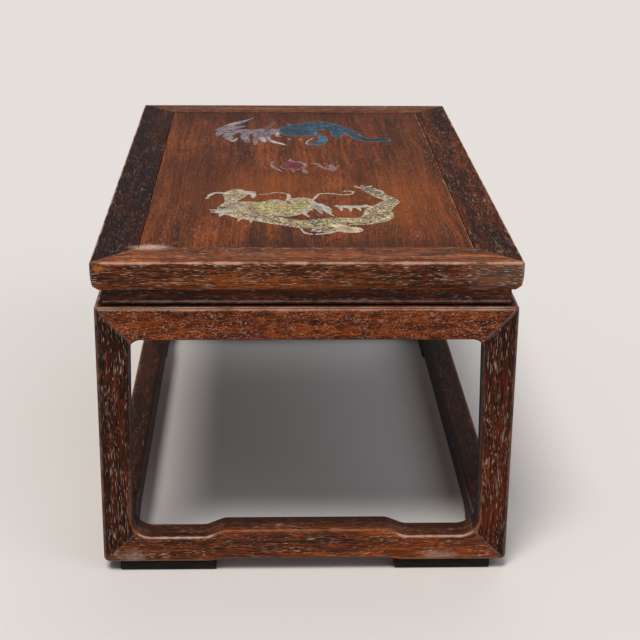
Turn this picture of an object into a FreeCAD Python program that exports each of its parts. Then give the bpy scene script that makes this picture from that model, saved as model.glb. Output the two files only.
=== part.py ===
"""Small kang table of hardwood: a framed top on a waist, mitred aprons and legs, and a floor stretcher.

Frame: millimetres, +Z up, +X to the right along the short side, +Y to the back along the long side.
The origin is on the floor under the middle of the top.
"""
import FreeCAD, Part
import math
import os
import re
import Sketcher

# Driving sizes in millimetres: name, value, what it is
SIZES = [
    ("top_width", 300, "short side of the top"),
    ("top_depth", 520, "long side of the top"),
    ("table_height", 240, "floor to table surface"),
    ("top_thick", 21.5, "thickness of the top frame"),
    ("long_rail_width", 31, "face width of the long top rails"),
    ("short_rail_width", 35, "face width of the short top rails"),
    ("top_arris", 2, "rounding of the upper edge of the top"),
    ("corner_arris", 2.5, "rounding of the four vertical corners of the top"),
    ("edge_plain", 8, "height of the plain upper part of the top's edge"),
    ("edge_ease", 24, "easing from the plain part into the lean below it"),
    ("edge_lean", 1.4, "how far the edge leans in above its rounded foot"),
    ("edge_foot", 4, "height of the rounded foot of the edge"),
    ("edge_foot_round", 4.5, "rounding of that foot"),
    ("edge_undercut", 5, "how far the moulded edge runs in at its lower end"),
    ("edge_lip", 1, "rounding of the lowest corner of the edge"),
    ("panel_thick", 9, "thickness of the panel"),
    ("panel_drop", 0.3, "how far the panel's face lies below the rails"),
    ("panel_gap", 0.5, "shrinkage gap between panel and rails"),
    ("tongue_length", 5.5, "tongue round the panel"),
    ("tongue_thick", 4, "thickness of the tongue"),
    ("tongue_drop", 3, "face of the rails to the tongue"),
    ("groove_room", 1, "depth of the groove past the tongue"),
    ("groove_play", 0.15, "play above and below the tongue"),
    ("rail_tenon_thick", 5, "tenon of a long rail, upright"),
    ("rail_tenon_width", 13, "tenon of a long rail, across"),
    ("rail_tenon_face", 9, "outer face of a long rail to its tenon"),
    ("rail_tenon_stop", 7, "outer face of a short rail to the tenon's end"),
    ("batten_width", 18, "batten, across"),
    ("batten_drop", 9, "batten below the panel"),
    ("batten_dovetail", 2.5, "height of the dovetail in the panel"),
    ("batten_flare", 1, "how far the dovetail widens on each side"),
    ("batten_neck", 12, "width of the dovetail at its root"),
    ("batten_place", 95, "middle of the top to the middle of a batten"),
    ("batten_tenon", 9, "length of the tenon at each end of a batten"),
    ("batten_tenon_thick", 5, "thickness of that tenon"),
    ("batten_tenon_lift", 1.5, "wood of the batten below its tenon"),
    ("batten_play", 0.2, "play round the dovetail"),
    ("base_inset", 1.5, "how far the stand lies in from the edge of the top"),
    ("waist_height", 12.2, "height of the waist that shows"),
    ("waist_inset", 5.8, "face of the apron to the face of the waist"),
    ("waist_thick", 8, "thickness of a waist strip"),
    ("waist_seat", 1.5, "depth of the seat of the waist in the apron"),
    ("quirk_depth", 0.7, "dark line over the apron, how deep"),
    ("quirk_height", 0.9, "dark line over the apron, how high"),
    ("apron_height", 24, "height of an apron"),
    ("apron_thick", 14, "thickness of an apron"),
    ("leg_width", 23, "side of a leg under the apron"),
    ("foot_width", 21, "side of a leg at the foot, and width of a stretcher"),
    ("leg_stub", 6, "side of the stub tenon on a leg"),
    ("leg_stub_height", 6, "height of that stub tenon"),
    ("stub_play", 0.5, "room past the end of a tenon"),
    ("apron_tenon_thick", 5, "tenon of an apron, across"),
    ("apron_tenon_height", 8, "tenon of an apron, upright"),
    ("apron_tenon_face", 4.5, "face of the apron to its tenon"),
    ("apron_tenon_lift", 4, "underside of the apron to its tenon"),
    ("apron_tenon_stop", 11, "outer side of the leg to the end of that tenon"),
    ("stretcher_height", 20.5, "height of the low ends of a stretcher"),
    ("stretcher_rise", 5.5, "how far its middle stands above the ends"),
    ("stretcher_relief", 3.6, "how far its middle clears the sole"),
    ("step_place", 75.5, "outer side of the leg to the step in a stretcher"),
    ("step_run", 13, "length of that step"),
    ("step_round", 14, "rounding at both ends of the step"),
    ("taper_margin", 4, "straight part of a leg above and below its taper"),
    ("taper_round", 150, "easing at both ends of the taper"),
    ("opening_round", 9.5, "upper corners of the openings"),
    ("opening_foot_round", 15, "lower corners of the openings"),
    ("foot_tenon", 5, "side of the two tenons under a leg"),
    ("foot_tenon_face", 4.5, "face of the stretcher to that tenon"),
    ("foot_tenon_side", 12, "end of the stretcher to that tenon"),
    ("foot_tenon_lift", 5, "sole of the stretcher to the tenon's end"),
    ("post_arris", 5, "rounding of the outer edge of the legs"),
    ("sole_arris", 3.4, "rounding of the lower edge of the stretchers"),
    ("ledge_arris", 2, "rounding of the upper edge of the aprons"),
    ("opening_arris", 1.6, "rounding of the outer edges of the openings"),
    ("pad_thick", 8, "thickness of a foot pad"),
    ("pad_inset", 3, "face of the short stretcher to the face of the pad"),
    ("pad_side_inset", 12, "face of the long stretcher to the side of the pad"),
    ("pad_width", 15, "width of the pad's arm under the short stretcher"),
    ("pad_side_width", 8, "width of the pad's arm under the long stretcher"),
    ("pad_reach", 82.5, "end of the stretcher to the end of the pad's arm"),
    ("pad_chamfer", 1.5, "chamfer round the foot of the pad"),
    ("overrun", 4, "how far a cutting shape runs past what it cuts"),
]
NAMES = {name for name, value, note in SIZES}

# Places worked out from the driving sizes
STAND_X = "(top_width / 2 - base_inset)"
STAND_Y = "(top_depth / 2 - base_inset)"
TOP_UNDER = "(table_height - top_thick)"
LEDGE = "(table_height - top_thick - waist_height)"
APRON_UNDER = "(table_height - top_thick - waist_height - apron_height)"
SOLE = "pad_thick"
LOW_TOP = "(pad_thick + stretcher_height)"
PANEL_X = "(top_width / 2 - long_rail_width)"
PANEL_Y = "(top_depth / 2 - short_rail_width)"
PANEL_UNDER = "(table_height - panel_drop - panel_thick)"

doc = FreeCAD.newDocument("kang_table")


def make_sheet():
    """Write the driving sizes into the sheet of the document."""
    cells = doc.addObject("Spreadsheet::Sheet", "Sizes")
    for row, (name, value, note) in enumerate(SIZES, start=1):
        cells.set(f"A{row}", name)
        cells.set(f"B{row}", str(value))
        cells.setAlias(f"B{row}", name)
        cells.set(f"C{row}", note)
    doc.recompute()
    return cells


sheet = make_sheet()


def bound(text):
    """The expression text with each size's name turned into a reference to the sheet."""
    def reference(word):
        name = word.group()
        return f"Sizes.{name}" if name in NAMES else name

    return re.sub(r"[a-z_]+", reference, text)


def reading(text):
    """The number that an expression text gives with the present sizes."""
    return float(sheet.evalExpression(bound(text)))


def add(*terms):
    """A sum of expression texts."""
    return "(" + " + ".join(terms) + ")"


def less(first, *terms):
    """An expression text less some others."""
    return "(" + first + " - " + " - ".join(terms) + ")"


def minus(text):
    """An expression text with its sign turned."""
    return f"(-1 * {text})"


def signed(sign, text):
    """An expression text on the side of the part that sign gives."""
    return text if sign > 0 else minus(text)


def origin_plane(body, role):
    """One of the body's own origin planes."""
    return next(plane for plane in body.Origin.OriginFeatures if plane.Role == role)


def corner_arc(before, corner, after, radius):
    """The arc that rounds a corner of an outline, and whether it runs against the outline."""
    back = (before - corner).normalize()
    ahead = (after - corner).normalize()
    half = back.getAngle(ahead) / 2
    reach = radius / math.tan(half)
    centre = corner + (back + ahead).normalize() * (radius / math.sin(half))
    start = corner + back * reach
    end = corner + ahead * reach
    middle = centre + (corner - centre).normalize() * radius
    against = back.cross(ahead).z > 0
    if against:
        start, end = end, start
    return Part.Arc(start, middle, end), against


def draw_loop(sketch, corners):
    """Draw one closed outline; a corner is (x, y) or (x, y, radius), all expression texts."""
    count = len(corners)
    spots = [FreeCAD.Vector(reading(corner[0]), reading(corner[1]), 0) for corner in corners]
    points = [sketch.addGeometry(Part.Point(spot), True) for spot in spots]
    for point, corner in zip(points, corners):
        for axis, text in (("DistanceX", corner[0]), ("DistanceY", corner[1])):
            row = sketch.addConstraint(Sketcher.Constraint(axis, -1, 1, point, 1, reading(text)))
            sketch.setExpression(f"Constraints[{row}]", bound(text))
    arcs = {}
    ends = {}
    for index, corner in enumerate(corners):
        if len(corner) == 3:
            before, after = spots[index - 1], spots[(index + 1) % count]
            arc, against = corner_arc(before, spots[index], after, reading(corner[2]))
            number = sketch.addGeometry(arc, False)
            arcs[index] = (number, 2 if against else 1, 1 if against else 2)
            ends[index] = (arc.EndPoint, arc.StartPoint) if against else (arc.StartPoint, arc.EndPoint)
    for index in range(count):
        following = (index + 1) % count
        start = ends[index][1] if index in arcs else spots[index]
        end = ends[following][0] if following in arcs else spots[following]
        line = sketch.addGeometry(Part.LineSegment(start, end), False)
        for corner, place in ((index, 1), (following, 2)):
            if corner in arcs:
                sketch.addConstraint(Sketcher.Constraint("PointOnObject", points[corner], 1, line))
                number = arcs[corner][0]
                arc_end = arcs[corner][2] if place == 1 else arcs[corner][1]
                sketch.addConstraint(Sketcher.Constraint("Tangent", line, place, number, arc_end))
            else:
                sketch.addConstraint(Sketcher.Constraint("Coincident", line, place, points[corner], 1))
    for index, (number, first, last) in arcs.items():
        row = sketch.addConstraint(Sketcher.Constraint("Radius", number, reading(corners[index][2])))
        sketch.setExpression(f"Constraints[{row}]", bound(corners[index][2]))


def draw(body, name, role, loops, level=None):
    """A sketch on one of the body's origin planes, lifted off it to a level."""
    sketch = body.newObject("Sketcher::SketchObject", name)
    sketch.AttachmentSupport = [(origin_plane(body, role), "")]
    sketch.MapMode = "FlatFace"
    if level:
        sketch.setExpression(".AttachmentOffset.Base.z", bound(level))
    for loop in loops:
        draw_loop(sketch, loop)
    return sketch


def pad(body, name, sketch, length, side="One side"):
    """Thicken a sketch along its normal."""
    feature = body.newObject("PartDesign::Pad", name)
    feature.Profile = sketch
    feature.SideType = side
    feature.setExpression("Length", bound(length))
    doc.recompute()
    return feature


def cut(body, name, sketch, length=None, upward=False):
    """Cut a sketch into the body, to a depth, or right through both ways where no length is given."""
    whole = body.Shape.Volume
    feature = body.newObject("PartDesign::Pocket", name)
    feature.Profile = sketch
    feature.Reversed = upward
    if length:
        feature.setExpression("Length", bound(length))
    else:
        feature.Type = "ThroughAll"
        feature.SideType = "Symmetric"
    doc.recompute()
    if body.Shape.Volume >= whole:
        raise RuntimeError(f"{name} cuts nothing")
    return feature


def round_edges(body, name, radius, wanted, kind="Fillet"):
    """Round or chamfer the body's edges that the test picks by their box."""
    boxes = [edge.BoundBox for edge in body.Shape.Edges]
    edges = [f"Edge{number}" for number, box in enumerate(boxes, start=1) if wanted(box)]
    if not edges:
        raise RuntimeError(f"{name} finds no edge")
    base = body.Tip
    feature = body.newObject(f"PartDesign::{kind}", name)
    feature.Base = (base, edges)
    feature.setExpression("Radius" if kind == "Fillet" else "Size", bound(radius))
    doc.recompute()
    return feature


def rectangle(left, right, low, high):
    """The four corners of a rectangle."""
    return [(left, low), (right, low), (right, high), (left, high)]


def centred(half_x, half_y):
    """A rectangle about the origin."""
    return rectangle(minus(half_x), half_x, minus(half_y), half_y)


def block(name, low, high):
    """A box between two corners, each three expression texts."""
    box = doc.addObject("Part::Box", name)
    for size, place, start, end in zip(("Length", "Width", "Height"), "xyz", low, high):
        box.setExpression(size, bound(less(end, start)))
        box.setExpression(f".Placement.Base.{place}", bound(start))
    return box


def corner_block(name, sides, across, along, upright):
    """A box near one corner of the part; across and along run in from the stand's outer faces."""
    spans = []
    for sign, face, span in zip(sides, (STAND_X, STAND_Y), (across, along)):
        near, far = less(face, span[0]), less(face, span[1])
        spans.append((far, near) if sign > 0 else (minus(near), minus(far)))
    return block(name, (spans[0][0], spans[1][0], upright[0]), (spans[0][1], spans[1][1], upright[1]))


def joined(kind, name, shapes):
    """A boolean of two or more shapes, with its faces merged."""
    feature = doc.addObject(f"Part::{kind}", name)
    if kind == "Cut":
        feature.Base, feature.Tool = shapes
    else:
        feature.Shapes = shapes
    feature.Refine = True
    return feature


def common(name, *shapes):
    """What the shapes share."""
    return joined("MultiCommon", name, list(shapes))


def fused(name, *shapes):
    """The shapes as one."""
    return joined("MultiFuse", name, list(shapes))


def without(name, base, *tools):
    """The base less the tools."""
    tool = tools[0] if len(tools) == 1 else fused(f"{name}_tools", *tools)
    return joined("Cut", name, [base, tool])


def plate(name, role, corners, length, level=None, side="Symmetric"):
    """A body of one outline thickened, used as a zone or a cutter."""
    body = doc.addObject("PartDesign::Body", name)
    sketch = draw(body, f"{name}_outline", role, [corners], level)
    pad(body, f"{name}_pad", sketch, length, side)
    return body


# The four sides: name, whether it runs along X, and on which side of the middle it lies
SIDES = [("front", True, -1), ("back", True, 1), ("left", False, -1), ("right", False, 1)]
CORNERS = [("front_left", -1, -1), ("front_right", 1, -1), ("back_left", -1, 1), ("back_right", 1, 1)]


def edge_outline(half):
    """The section through the whole top: rounded above, moulded and drawn in below."""
    side = [
        (less(half, "edge_undercut"), TOP_UNDER, "edge_lip"),
        (less(half, "edge_lean"), add(TOP_UNDER, "edge_foot"), "edge_foot_round"),
        (half, less("table_height", "edge_plain"), "edge_ease"),
        (half, "table_height", "top_arris"),
    ]
    other = [(minus(corner[0]),) + corner[1:] for corner in reversed(side)]
    return side + other


def outside(half):
    """Two outlines of all that lies beyond the moulded edge of the top on both sides."""
    outline = edge_outline(half)
    middle = len(outline) // 2
    far = add(half, "overrun")
    inner = less(half, "edge_undercut", "overrun")
    low, high = less(TOP_UNDER, "overrun"), add("table_height", "overrun")
    around = [(inner, low), (far, low), (far, high), (inner, high), (inner, "table_height")]
    loops = []
    for sign, side in ((1, outline[middle - 1::-1]), (-1, outline[middle:])):
        start = [(signed(sign, x), z) for x, z in around]
        loops.append(start + side + [(signed(sign, inner), TOP_UNDER)])
    return loops


def corner_shavings(half_x, half_y, radius):
    """The four outlines that take the sharp vertical corners off a slab."""
    far_x, far_y = add(half_x, "overrun"), add(half_y, "overrun")
    near_x, near_y = less(half_x, f"2 * {radius}"), less(half_y, f"2 * {radius}")
    corner = [(near_x, far_y), (far_x, far_y), (far_x, near_y), (half_x, near_y),
              (half_x, half_y, radius), (near_x, half_y)]
    loops = []
    for name, side_x, side_y in CORNERS:
        loops.append([(signed(side_x, point[0]), signed(side_y, point[1])) + point[2:] for point in corner])
    return loops


def make_top_blank():
    """The top frame in one piece: moulded outside, with the panel's opening and groove."""
    body = doc.addObject("PartDesign::Body", "top_blank")
    section = draw(body, "top_section", "XZ_Plane", [edge_outline("top_width / 2")])
    pad(body, "top_slab", section, "top_depth", "Symmetric")
    cut(body, "top_end_moulding", draw(body, "top_end_section", "YZ_Plane", outside("top_depth / 2")))
    shavings = corner_shavings("top_width / 2", "top_depth / 2", "corner_arris")
    cut(body, "top_corners", draw(body, "top_corner_plan", "XY_Plane", shavings))
    opening = draw(body, "top_opening_outline", "XY_Plane", [centred(PANEL_X, PANEL_Y)])
    cut(body, "top_opening", opening)
    reach = add("tongue_length", "groove_room")
    groove_plan = centred(add(PANEL_X, reach), add(PANEL_Y, reach))
    groove = draw(body, "panel_groove_outline", "XY_Plane", [groove_plan],
                  add("table_height", "groove_play", "-1 * tongue_drop"))
    cut(body, "panel_groove", groove, add("tongue_thick", "2 * groove_play"))
    return body


def rail_zone(name, along_x, sign):
    """The share of the top frame that one rail takes, bounded by the mitres."""
    slope = "long_rail_width / short_rail_width"
    out_x, out_y = add("top_width / 2", f"overrun * {slope}"), add("top_depth / 2", "overrun")
    if along_x:
        corners = [(minus(out_x), out_y), (out_x, out_y), (PANEL_X, PANEL_Y), (minus(PANEL_X), PANEL_Y)]
        corners = [(x, signed(sign, y)) for x, y in corners]
    else:
        corners = [(out_x, minus(out_y)), (out_x, out_y), (PANEL_X, PANEL_Y), (PANEL_X, minus(PANEL_Y))]
        corners = [(signed(sign, x), y) for x, y in corners]
    return plate(f"zone_rail_{name}", "XY_Plane", corners, "2 * table_height")


def rail_tenon(corner, side_x, side_y, room):
    """The tenon of a long rail at one corner, or the mortise for it where there is room past its end."""
    kind = "mortise" if room else "tenon"
    stop = less("rail_tenon_stop", "base_inset")
    if room:
        stop = less(stop, "stub_play")
    low = add(TOP_UNDER, "top_thick / 2", "-1 * rail_tenon_thick / 2")
    face = less("rail_tenon_face", "base_inset")
    return corner_block(f"rail_{kind}_{corner}", (side_x, side_y), (face, add(face, "rail_tenon_width")),
                        (stop, add("short_rail_width", "overrun")), (low, add(low, "rail_tenon_thick")))


def leg_stub(corner, side_x, side_y, room):
    """The stub tenon on top of a leg, or the mortise for it in the top frame."""
    kind = "socket" if room else "stub"
    start = add("apron_thick", "(leg_width - apron_thick - leg_stub) / 2")
    top = add(TOP_UNDER, "leg_stub_height")
    if room:
        top = add(top, "stub_play")
    span = (start, add(start, "leg_stub"))
    upright = (less(TOP_UNDER, "overrun"), top)
    return corner_block(f"leg_{kind}_{corner}", (side_x, side_y), span, span, upright)


def batten_tenon_box(name, half_length, place):
    """The bar that forms both end tenons of a batten, or both of their mortises."""
    low = add(PANEL_UNDER, "-1 * batten_drop", "batten_tenon_lift")
    return block(name, (minus(half_length), less(place, "batten_neck / 2"), low),
                 (half_length, add(place, "batten_neck / 2"), add(low, "batten_tenon_thick")))


def make_top():
    """The four rails, the panel and the two battens."""
    blank = make_top_blank()
    sockets = [leg_stub(corner, x, y, True) for corner, x, y in CORNERS]
    places = [("front", minus("batten_place")), ("back", "batten_place")]
    long_mortises = []
    for name, place in places:
        reach = add(PANEL_X, "batten_tenon", "stub_play")
        long_mortises.append(batten_tenon_box(f"batten_mortise_{name}", reach, place))
    nodes = {}
    for name, along_x, sign in SIDES:
        rail = common(f"top_rail_{name}_part", blank, rail_zone(name, along_x, sign))
        ends = [row for row in CORNERS if row[2 if along_x else 1] == sign]
        if along_x:
            mortises = [rail_tenon(corner, x, y, True) for corner, x, y in ends]
            nodes[f"top_rail_{name}"] = without(f"top_rail_{name}", rail, *mortises, *sockets)
        else:
            tenons = [rail_tenon(corner, x, y, False) for corner, x, y in ends]
            tenoned = fused(f"top_rail_{name}_tenoned", rail, *tenons)
            nodes[f"top_rail_{name}"] = without(f"top_rail_{name}", tenoned, *sockets, *long_mortises)
    nodes["top_panel"] = make_panel(places)
    for name, place in places:
        nodes[f"batten_{name}"] = make_batten(name, place)
    return nodes


def dovetail(place, play):
    """The outline of a batten's dovetail, or of its housing in the panel, seen along X."""
    neck = add("batten_neck / 2", play)
    head = add("batten_neck / 2", "batten_flare", play)
    top = add(PANEL_UNDER, "batten_dovetail", play)
    return [(add(place, neck), PANEL_UNDER), (add(place, head), top),
            (less(place, head), top), (less(place, neck), PANEL_UNDER)]


def make_panel(places):
    """The floating panel, with its tongue all round and two dovetailed housings below."""
    body = doc.addObject("PartDesign::Body", "top_panel")
    board_plan = centred(less(PANEL_X, "panel_gap"), less(PANEL_Y, "panel_gap"))
    board = draw(body, "panel_outline", "XY_Plane", [board_plan], PANEL_UNDER)
    pad(body, "panel_board", board, "panel_thick")
    reach = less("tongue_length", "panel_gap")
    tongue_plan = centred(add(PANEL_X, reach), add(PANEL_Y, reach))
    tongue = draw(body, "tongue_outline", "XY_Plane", [tongue_plan],
                  less("table_height", "tongue_drop", "tongue_thick"))
    pad(body, "panel_tongue", tongue, "tongue_thick")
    housings = []
    for name, place in places:
        outline = dovetail(place, "batten_play")
        neck = add("batten_neck / 2", "batten_play")
        open_side = less(PANEL_UNDER, "overrun")
        below = [(less(place, neck), open_side), (add(place, neck), open_side)]
        housings.append(outline + below)
    cut(body, "batten_housings", draw(body, "housing_outline", "YZ_Plane", housings))
    return body


def make_batten(name, place):
    """A batten under the panel: a bar with a dovetail along its top and a tenon at each end."""
    body = doc.addObject("PartDesign::Body", f"batten_{name}_bar")
    half = "batten_width / 2"
    low = less(PANEL_UNDER, "batten_drop")
    bar = [(less(place, half), low), (add(place, half), low), (add(place, half), PANEL_UNDER)]
    outline = bar + dovetail(place, "0") + [(less(place, half), PANEL_UNDER)]
    section = draw(body, f"batten_{name}_section", "YZ_Plane", [outline])
    pad(body, f"batten_{name}_length", section, f"2 * {PANEL_X}", "Symmetric")
    tenons = batten_tenon_box(f"batten_tenons_{name}", add(PANEL_X, "batten_tenon"), place)
    return fused(f"batten_{name}", body, tenons)


def opening_outline(half):
    """One opening of the stand seen square on: tapered sides, round corners and a stepped sill."""
    top = less(half, "leg_width")
    foot = less(half, "foot_width")
    low_end = less(half, "step_place")
    high_end = less(half, "step_place", "step_run")
    high = add(LOW_TOP, "stretcher_rise")
    side = [
        (high_end, high, "step_round"),
        (low_end, LOW_TOP, "step_round"),
        (foot, LOW_TOP, "opening_foot_round"),
        (foot, add(LOW_TOP, "opening_foot_round", "taper_margin"), "taper_round"),
        (top, less(APRON_UNDER, "opening_round", "taper_margin"), "taper_round"),
        (top, APRON_UNDER, "opening_round"),
    ]
    return side + [(minus(corner[0]),) + corner[1:] for corner in reversed(side)]


def relief_outline(half):
    """The shallow arch under the middle of a stretcher, open to below."""
    low_end = less(half, "step_place")
    high_end = less(half, "step_place", "step_run")
    high = add(SOLE, "stretcher_relief")
    below = less(SOLE, "overrun")
    side = [(low_end, below), (low_end, SOLE), (high_end, high, "step_round")]
    return side + [(minus(corner[0]),) + corner[1:] for corner in reversed(side)]


def make_stand_blank():
    """The stand in one piece, shaped and rounded, before it is parted at its joints."""
    body = doc.addObject("PartDesign::Body", "stand_blank")
    plan = draw(body, "stand_plan", "XY_Plane", [centred(STAND_X, STAND_Y)], SOLE)
    pad(body, "stand_block", plan, less(LEDGE, SOLE))
    tiny = reading("quirk_depth") / 10
    full_height = reading(LEDGE) - reading(SOLE) - tiny
    round_edges(body, "post_rounding", "post_arris", lambda box: box.ZLength > full_height)
    round_edges(body, "sole_rounding", "sole_arris", lambda box: box.ZMax < reading(SOLE) + tiny)
    round_edges(body, "ledge_rounding", "ledge_arris", lambda box: box.ZMin > reading(LEDGE) - tiny)

    inner = [centred(less(STAND_X, "foot_width"), less(STAND_Y, "foot_width"))]
    cut(body, "floor_well", draw(body, "floor_well_plan", "XY_Plane", inner, SOLE),
        add("stretcher_height", "opening_foot_round"), True)
    far_x, near_x = less(STAND_X, "apron_thick"), less(STAND_X, "leg_width")
    far_y, near_y = less(STAND_Y, "apron_thick"), less(STAND_Y, "leg_width")
    quarter = [(far_x, near_y), (near_x, near_y), (near_x, far_y)]
    cross = quarter + [(minus(x), y) for x, y in reversed(quarter)]
    cross += [(minus(x), minus(y)) for x, y in quarter] + [(x, minus(y)) for x, y in reversed(quarter)]
    cut(body, "apron_well", draw(body, "apron_well_plan", "XY_Plane", [cross], LEDGE),
        add("apron_height", "opening_round"))
    for name, role, half in (("end", "XZ_Plane", STAND_X), ("side", "YZ_Plane", STAND_Y)):
        cut(body, f"{name}_openings", draw(body, f"{name}_opening_outline", role, [opening_outline(half)]))
        cut(body, f"{name}_reliefs", draw(body, f"{name}_relief_outline", role, [relief_outline(half)]))

    def on_outer_face(box):
        flat_x = box.XLength < tiny and abs(abs(box.XMin) - reading(STAND_X)) < tiny
        flat_y = box.YLength < tiny and abs(abs(box.YMin) - reading(STAND_Y)) < tiny
        low = reading(LOW_TOP) - tiny
        high = reading(APRON_UNDER) + tiny
        inside_x = max(abs(box.XMin), abs(box.XMax)) < reading(STAND_X) - reading("foot_width") + tiny
        inside_y = max(abs(box.YMin), abs(box.YMax)) < reading(STAND_Y) - reading("foot_width") + tiny
        return box.ZMin > low and box.ZMax < high and ((flat_x and inside_y) or (flat_y and inside_x))

    round_edges(body, "opening_rounding", "opening_arris", on_outer_face)
    seat = [centred(less(STAND_X, "waist_inset"), less(STAND_Y, "waist_inset")),
            centred(less(STAND_X, "apron_thick"), less(STAND_Y, "apron_thick"))]
    cut(body, "waist_seat", draw(body, "waist_seat_plan", "XY_Plane", seat, LEDGE), "waist_seat")
    return body


def joint_plan(name, along_x, sign, depth):
    """The plan of one side of the stand up to a depth, bounded by square mitres at its ends."""
    out_x, out_y = add(STAND_X, "overrun"), add(STAND_Y, "overrun")
    in_x, in_y = less(STAND_X, depth), less(STAND_Y, depth)
    if along_x:
        corners = [(minus(out_x), out_y), (out_x, out_y), (in_x, in_y), (minus(in_x), in_y)]
        corners = [(x, signed(sign, y)) for x, y in corners]
    else:
        corners = [(out_x, minus(out_y)), (out_x, out_y), (in_x, in_y), (in_x, minus(in_y))]
        corners = [(signed(sign, x), y) for x, y in corners]
    return plate(name, "XY_Plane", corners, "2 * table_height")


def apron_elevation(name, role, half, length):
    """All that lies above the mitres between legs and aprons, seen square on."""
    slope = "leg_width / apron_height"
    out = add(half, f"overrun * {slope}")
    inner = less(half, "leg_width", f"opening_round * {slope}")
    high, low = add(LEDGE, "overrun"), less(APRON_UNDER, "opening_round")
    return plate(name, role, [(minus(out), high), (out, high), (inner, low), (minus(inner), low)], length)


def stretcher_elevation(name, role, half, length):
    """All that lies below the mitres between legs and stretchers, seen square on."""
    slope = "foot_width / stretcher_height"
    out = add(half, f"overrun * {slope}")
    inner = less(half, "foot_width", f"opening_foot_round * {slope}")
    high, low = add(LOW_TOP, "opening_foot_round"), less(SOLE, "overrun")
    return plate(name, role, [(minus(inner), high), (inner, high), (out, low), (minus(out), low)], length)


def apron_tenon(corner, side_x, side_y, along_x, room):
    """The tenon of an apron in a leg, or the mortise for it."""
    kind = "mortise" if room else "tenon"
    stop = less("apron_tenon_stop", "stub_play") if room else "apron_tenon_stop"
    length = (stop, add("leg_width", "overrun"))
    thick = ("apron_tenon_face", add("apron_tenon_face", "apron_tenon_thick"))
    low = add(APRON_UNDER, "apron_tenon_lift")
    across, along = (length, thick) if along_x else (thick, length)
    way = "end" if along_x else "side"
    return corner_block(f"apron_{kind}_{way}_{corner}", (side_x, side_y), across, along,
                        (low, add(low, "apron_tenon_height")))


def foot_tenon(corner, side_x, side_y, along_x, room):
    """One of the two tenons under a leg, or the mortise for it in a stretcher."""
    kind = "mortise" if room else "tenon"
    low = add(SOLE, "foot_tenon_lift", "-1 * stub_play") if room else add(SOLE, "foot_tenon_lift")
    face = ("foot_tenon_face", add("foot_tenon_face", "foot_tenon"))
    side = ("foot_tenon_side", add("foot_tenon_side", "foot_tenon"))
    across, along = (side, face) if along_x else (face, side)
    way = "end" if along_x else "side"
    return corner_block(f"foot_{kind}_{way}_{corner}", (side_x, side_y), across, along,
                        (low, add(SOLE, "foot_tenon_lift", "stretcher_height")))


def make_leg(corner, side_x, side_y, blank, zones):
    """A leg: its corner of the blank less what its four neighbours take, with head and tenons."""
    sides = (side_x, side_y)
    # Wide enough for the leg's share of the rounded corners of the openings
    span = ("-1 * overrun", add("leg_width", "opening_foot_round"))
    column = corner_block(f"leg_column_{corner}", sides, span, span, (less(SOLE, "overrun"), LEDGE))
    post = common(f"leg_post_{corner}", blank, column)
    mortises = [apron_tenon(corner, side_x, side_y, way, True) for way in (True, False)]
    shouldered = without(f"leg_shouldered_{corner}", post, *zones, *mortises)
    head_span = ("apron_thick", "leg_width")
    head = corner_block(f"leg_head_{corner}", sides, head_span, head_span, (APRON_UNDER, TOP_UNDER))
    tenons = [foot_tenon(corner, side_x, side_y, way, False) for way in (True, False)]
    return fused(f"leg_{corner}", shouldered, head, leg_stub(corner, side_x, side_y, False), *tenons)


def make_stand():
    """The aprons, stretchers and legs, parted from the blank along their mitres."""
    blank = make_stand_blank()
    walls = {}
    ways = [("end", "XZ_Plane", STAND_X, STAND_Y), ("side", "YZ_Plane", STAND_Y, STAND_X)]
    for name, role, half, other in ways:
        length = f"2 * {add(other, 'overrun')}"
        walls["apron", name] = apron_elevation(f"apron_wall_{name}", role, half, length)
        walls["stretcher", name] = stretcher_elevation(f"stretcher_wall_{name}", role, half, length)
    plans = {}
    zones = {}
    for name, along_x, sign in SIDES:
        way = "end" if along_x else "side"
        plans[name] = joint_plan(f"apron_plan_{name}", along_x, sign, "apron_thick")
        floor_plan = joint_plan(f"stretcher_plan_{name}", along_x, sign, "foot_width")
        zones["apron", name] = common(f"apron_zone_{name}", walls["apron", way], plans[name])
        zones["stretcher", name] = common(f"stretcher_zone_{name}", walls["stretcher", way], floor_plan)
    nodes = {}
    for name, along_x, sign in SIDES:
        ends = [row for row in CORNERS if row[2 if along_x else 1] == sign]
        tenons = [apron_tenon(corner, x, y, along_x, False) for corner, x, y in ends]
        apron = common(f"apron_{name}_part", blank, zones["apron", name])
        nodes[f"apron_{name}"] = fused(f"apron_{name}", apron, *tenons)
        mortises = [foot_tenon(corner, x, y, along_x, True) for corner, x, y in ends]
        stretcher = common(f"stretcher_{name}_part", blank, zones["stretcher", name])
        nodes[f"stretcher_{name}"] = without(f"stretcher_{name}", stretcher, *mortises)
    for corner, side_x, side_y in CORNERS:
        around = ["front" if side_y < 0 else "back", "left" if side_x < 0 else "right"]
        nearby = [zones[kind, side] for kind in ("apron", "stretcher") for side in around]
        nodes[f"leg_{corner}"] = make_leg(corner, side_x, side_y, blank, nearby)
    return nodes, plans


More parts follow.
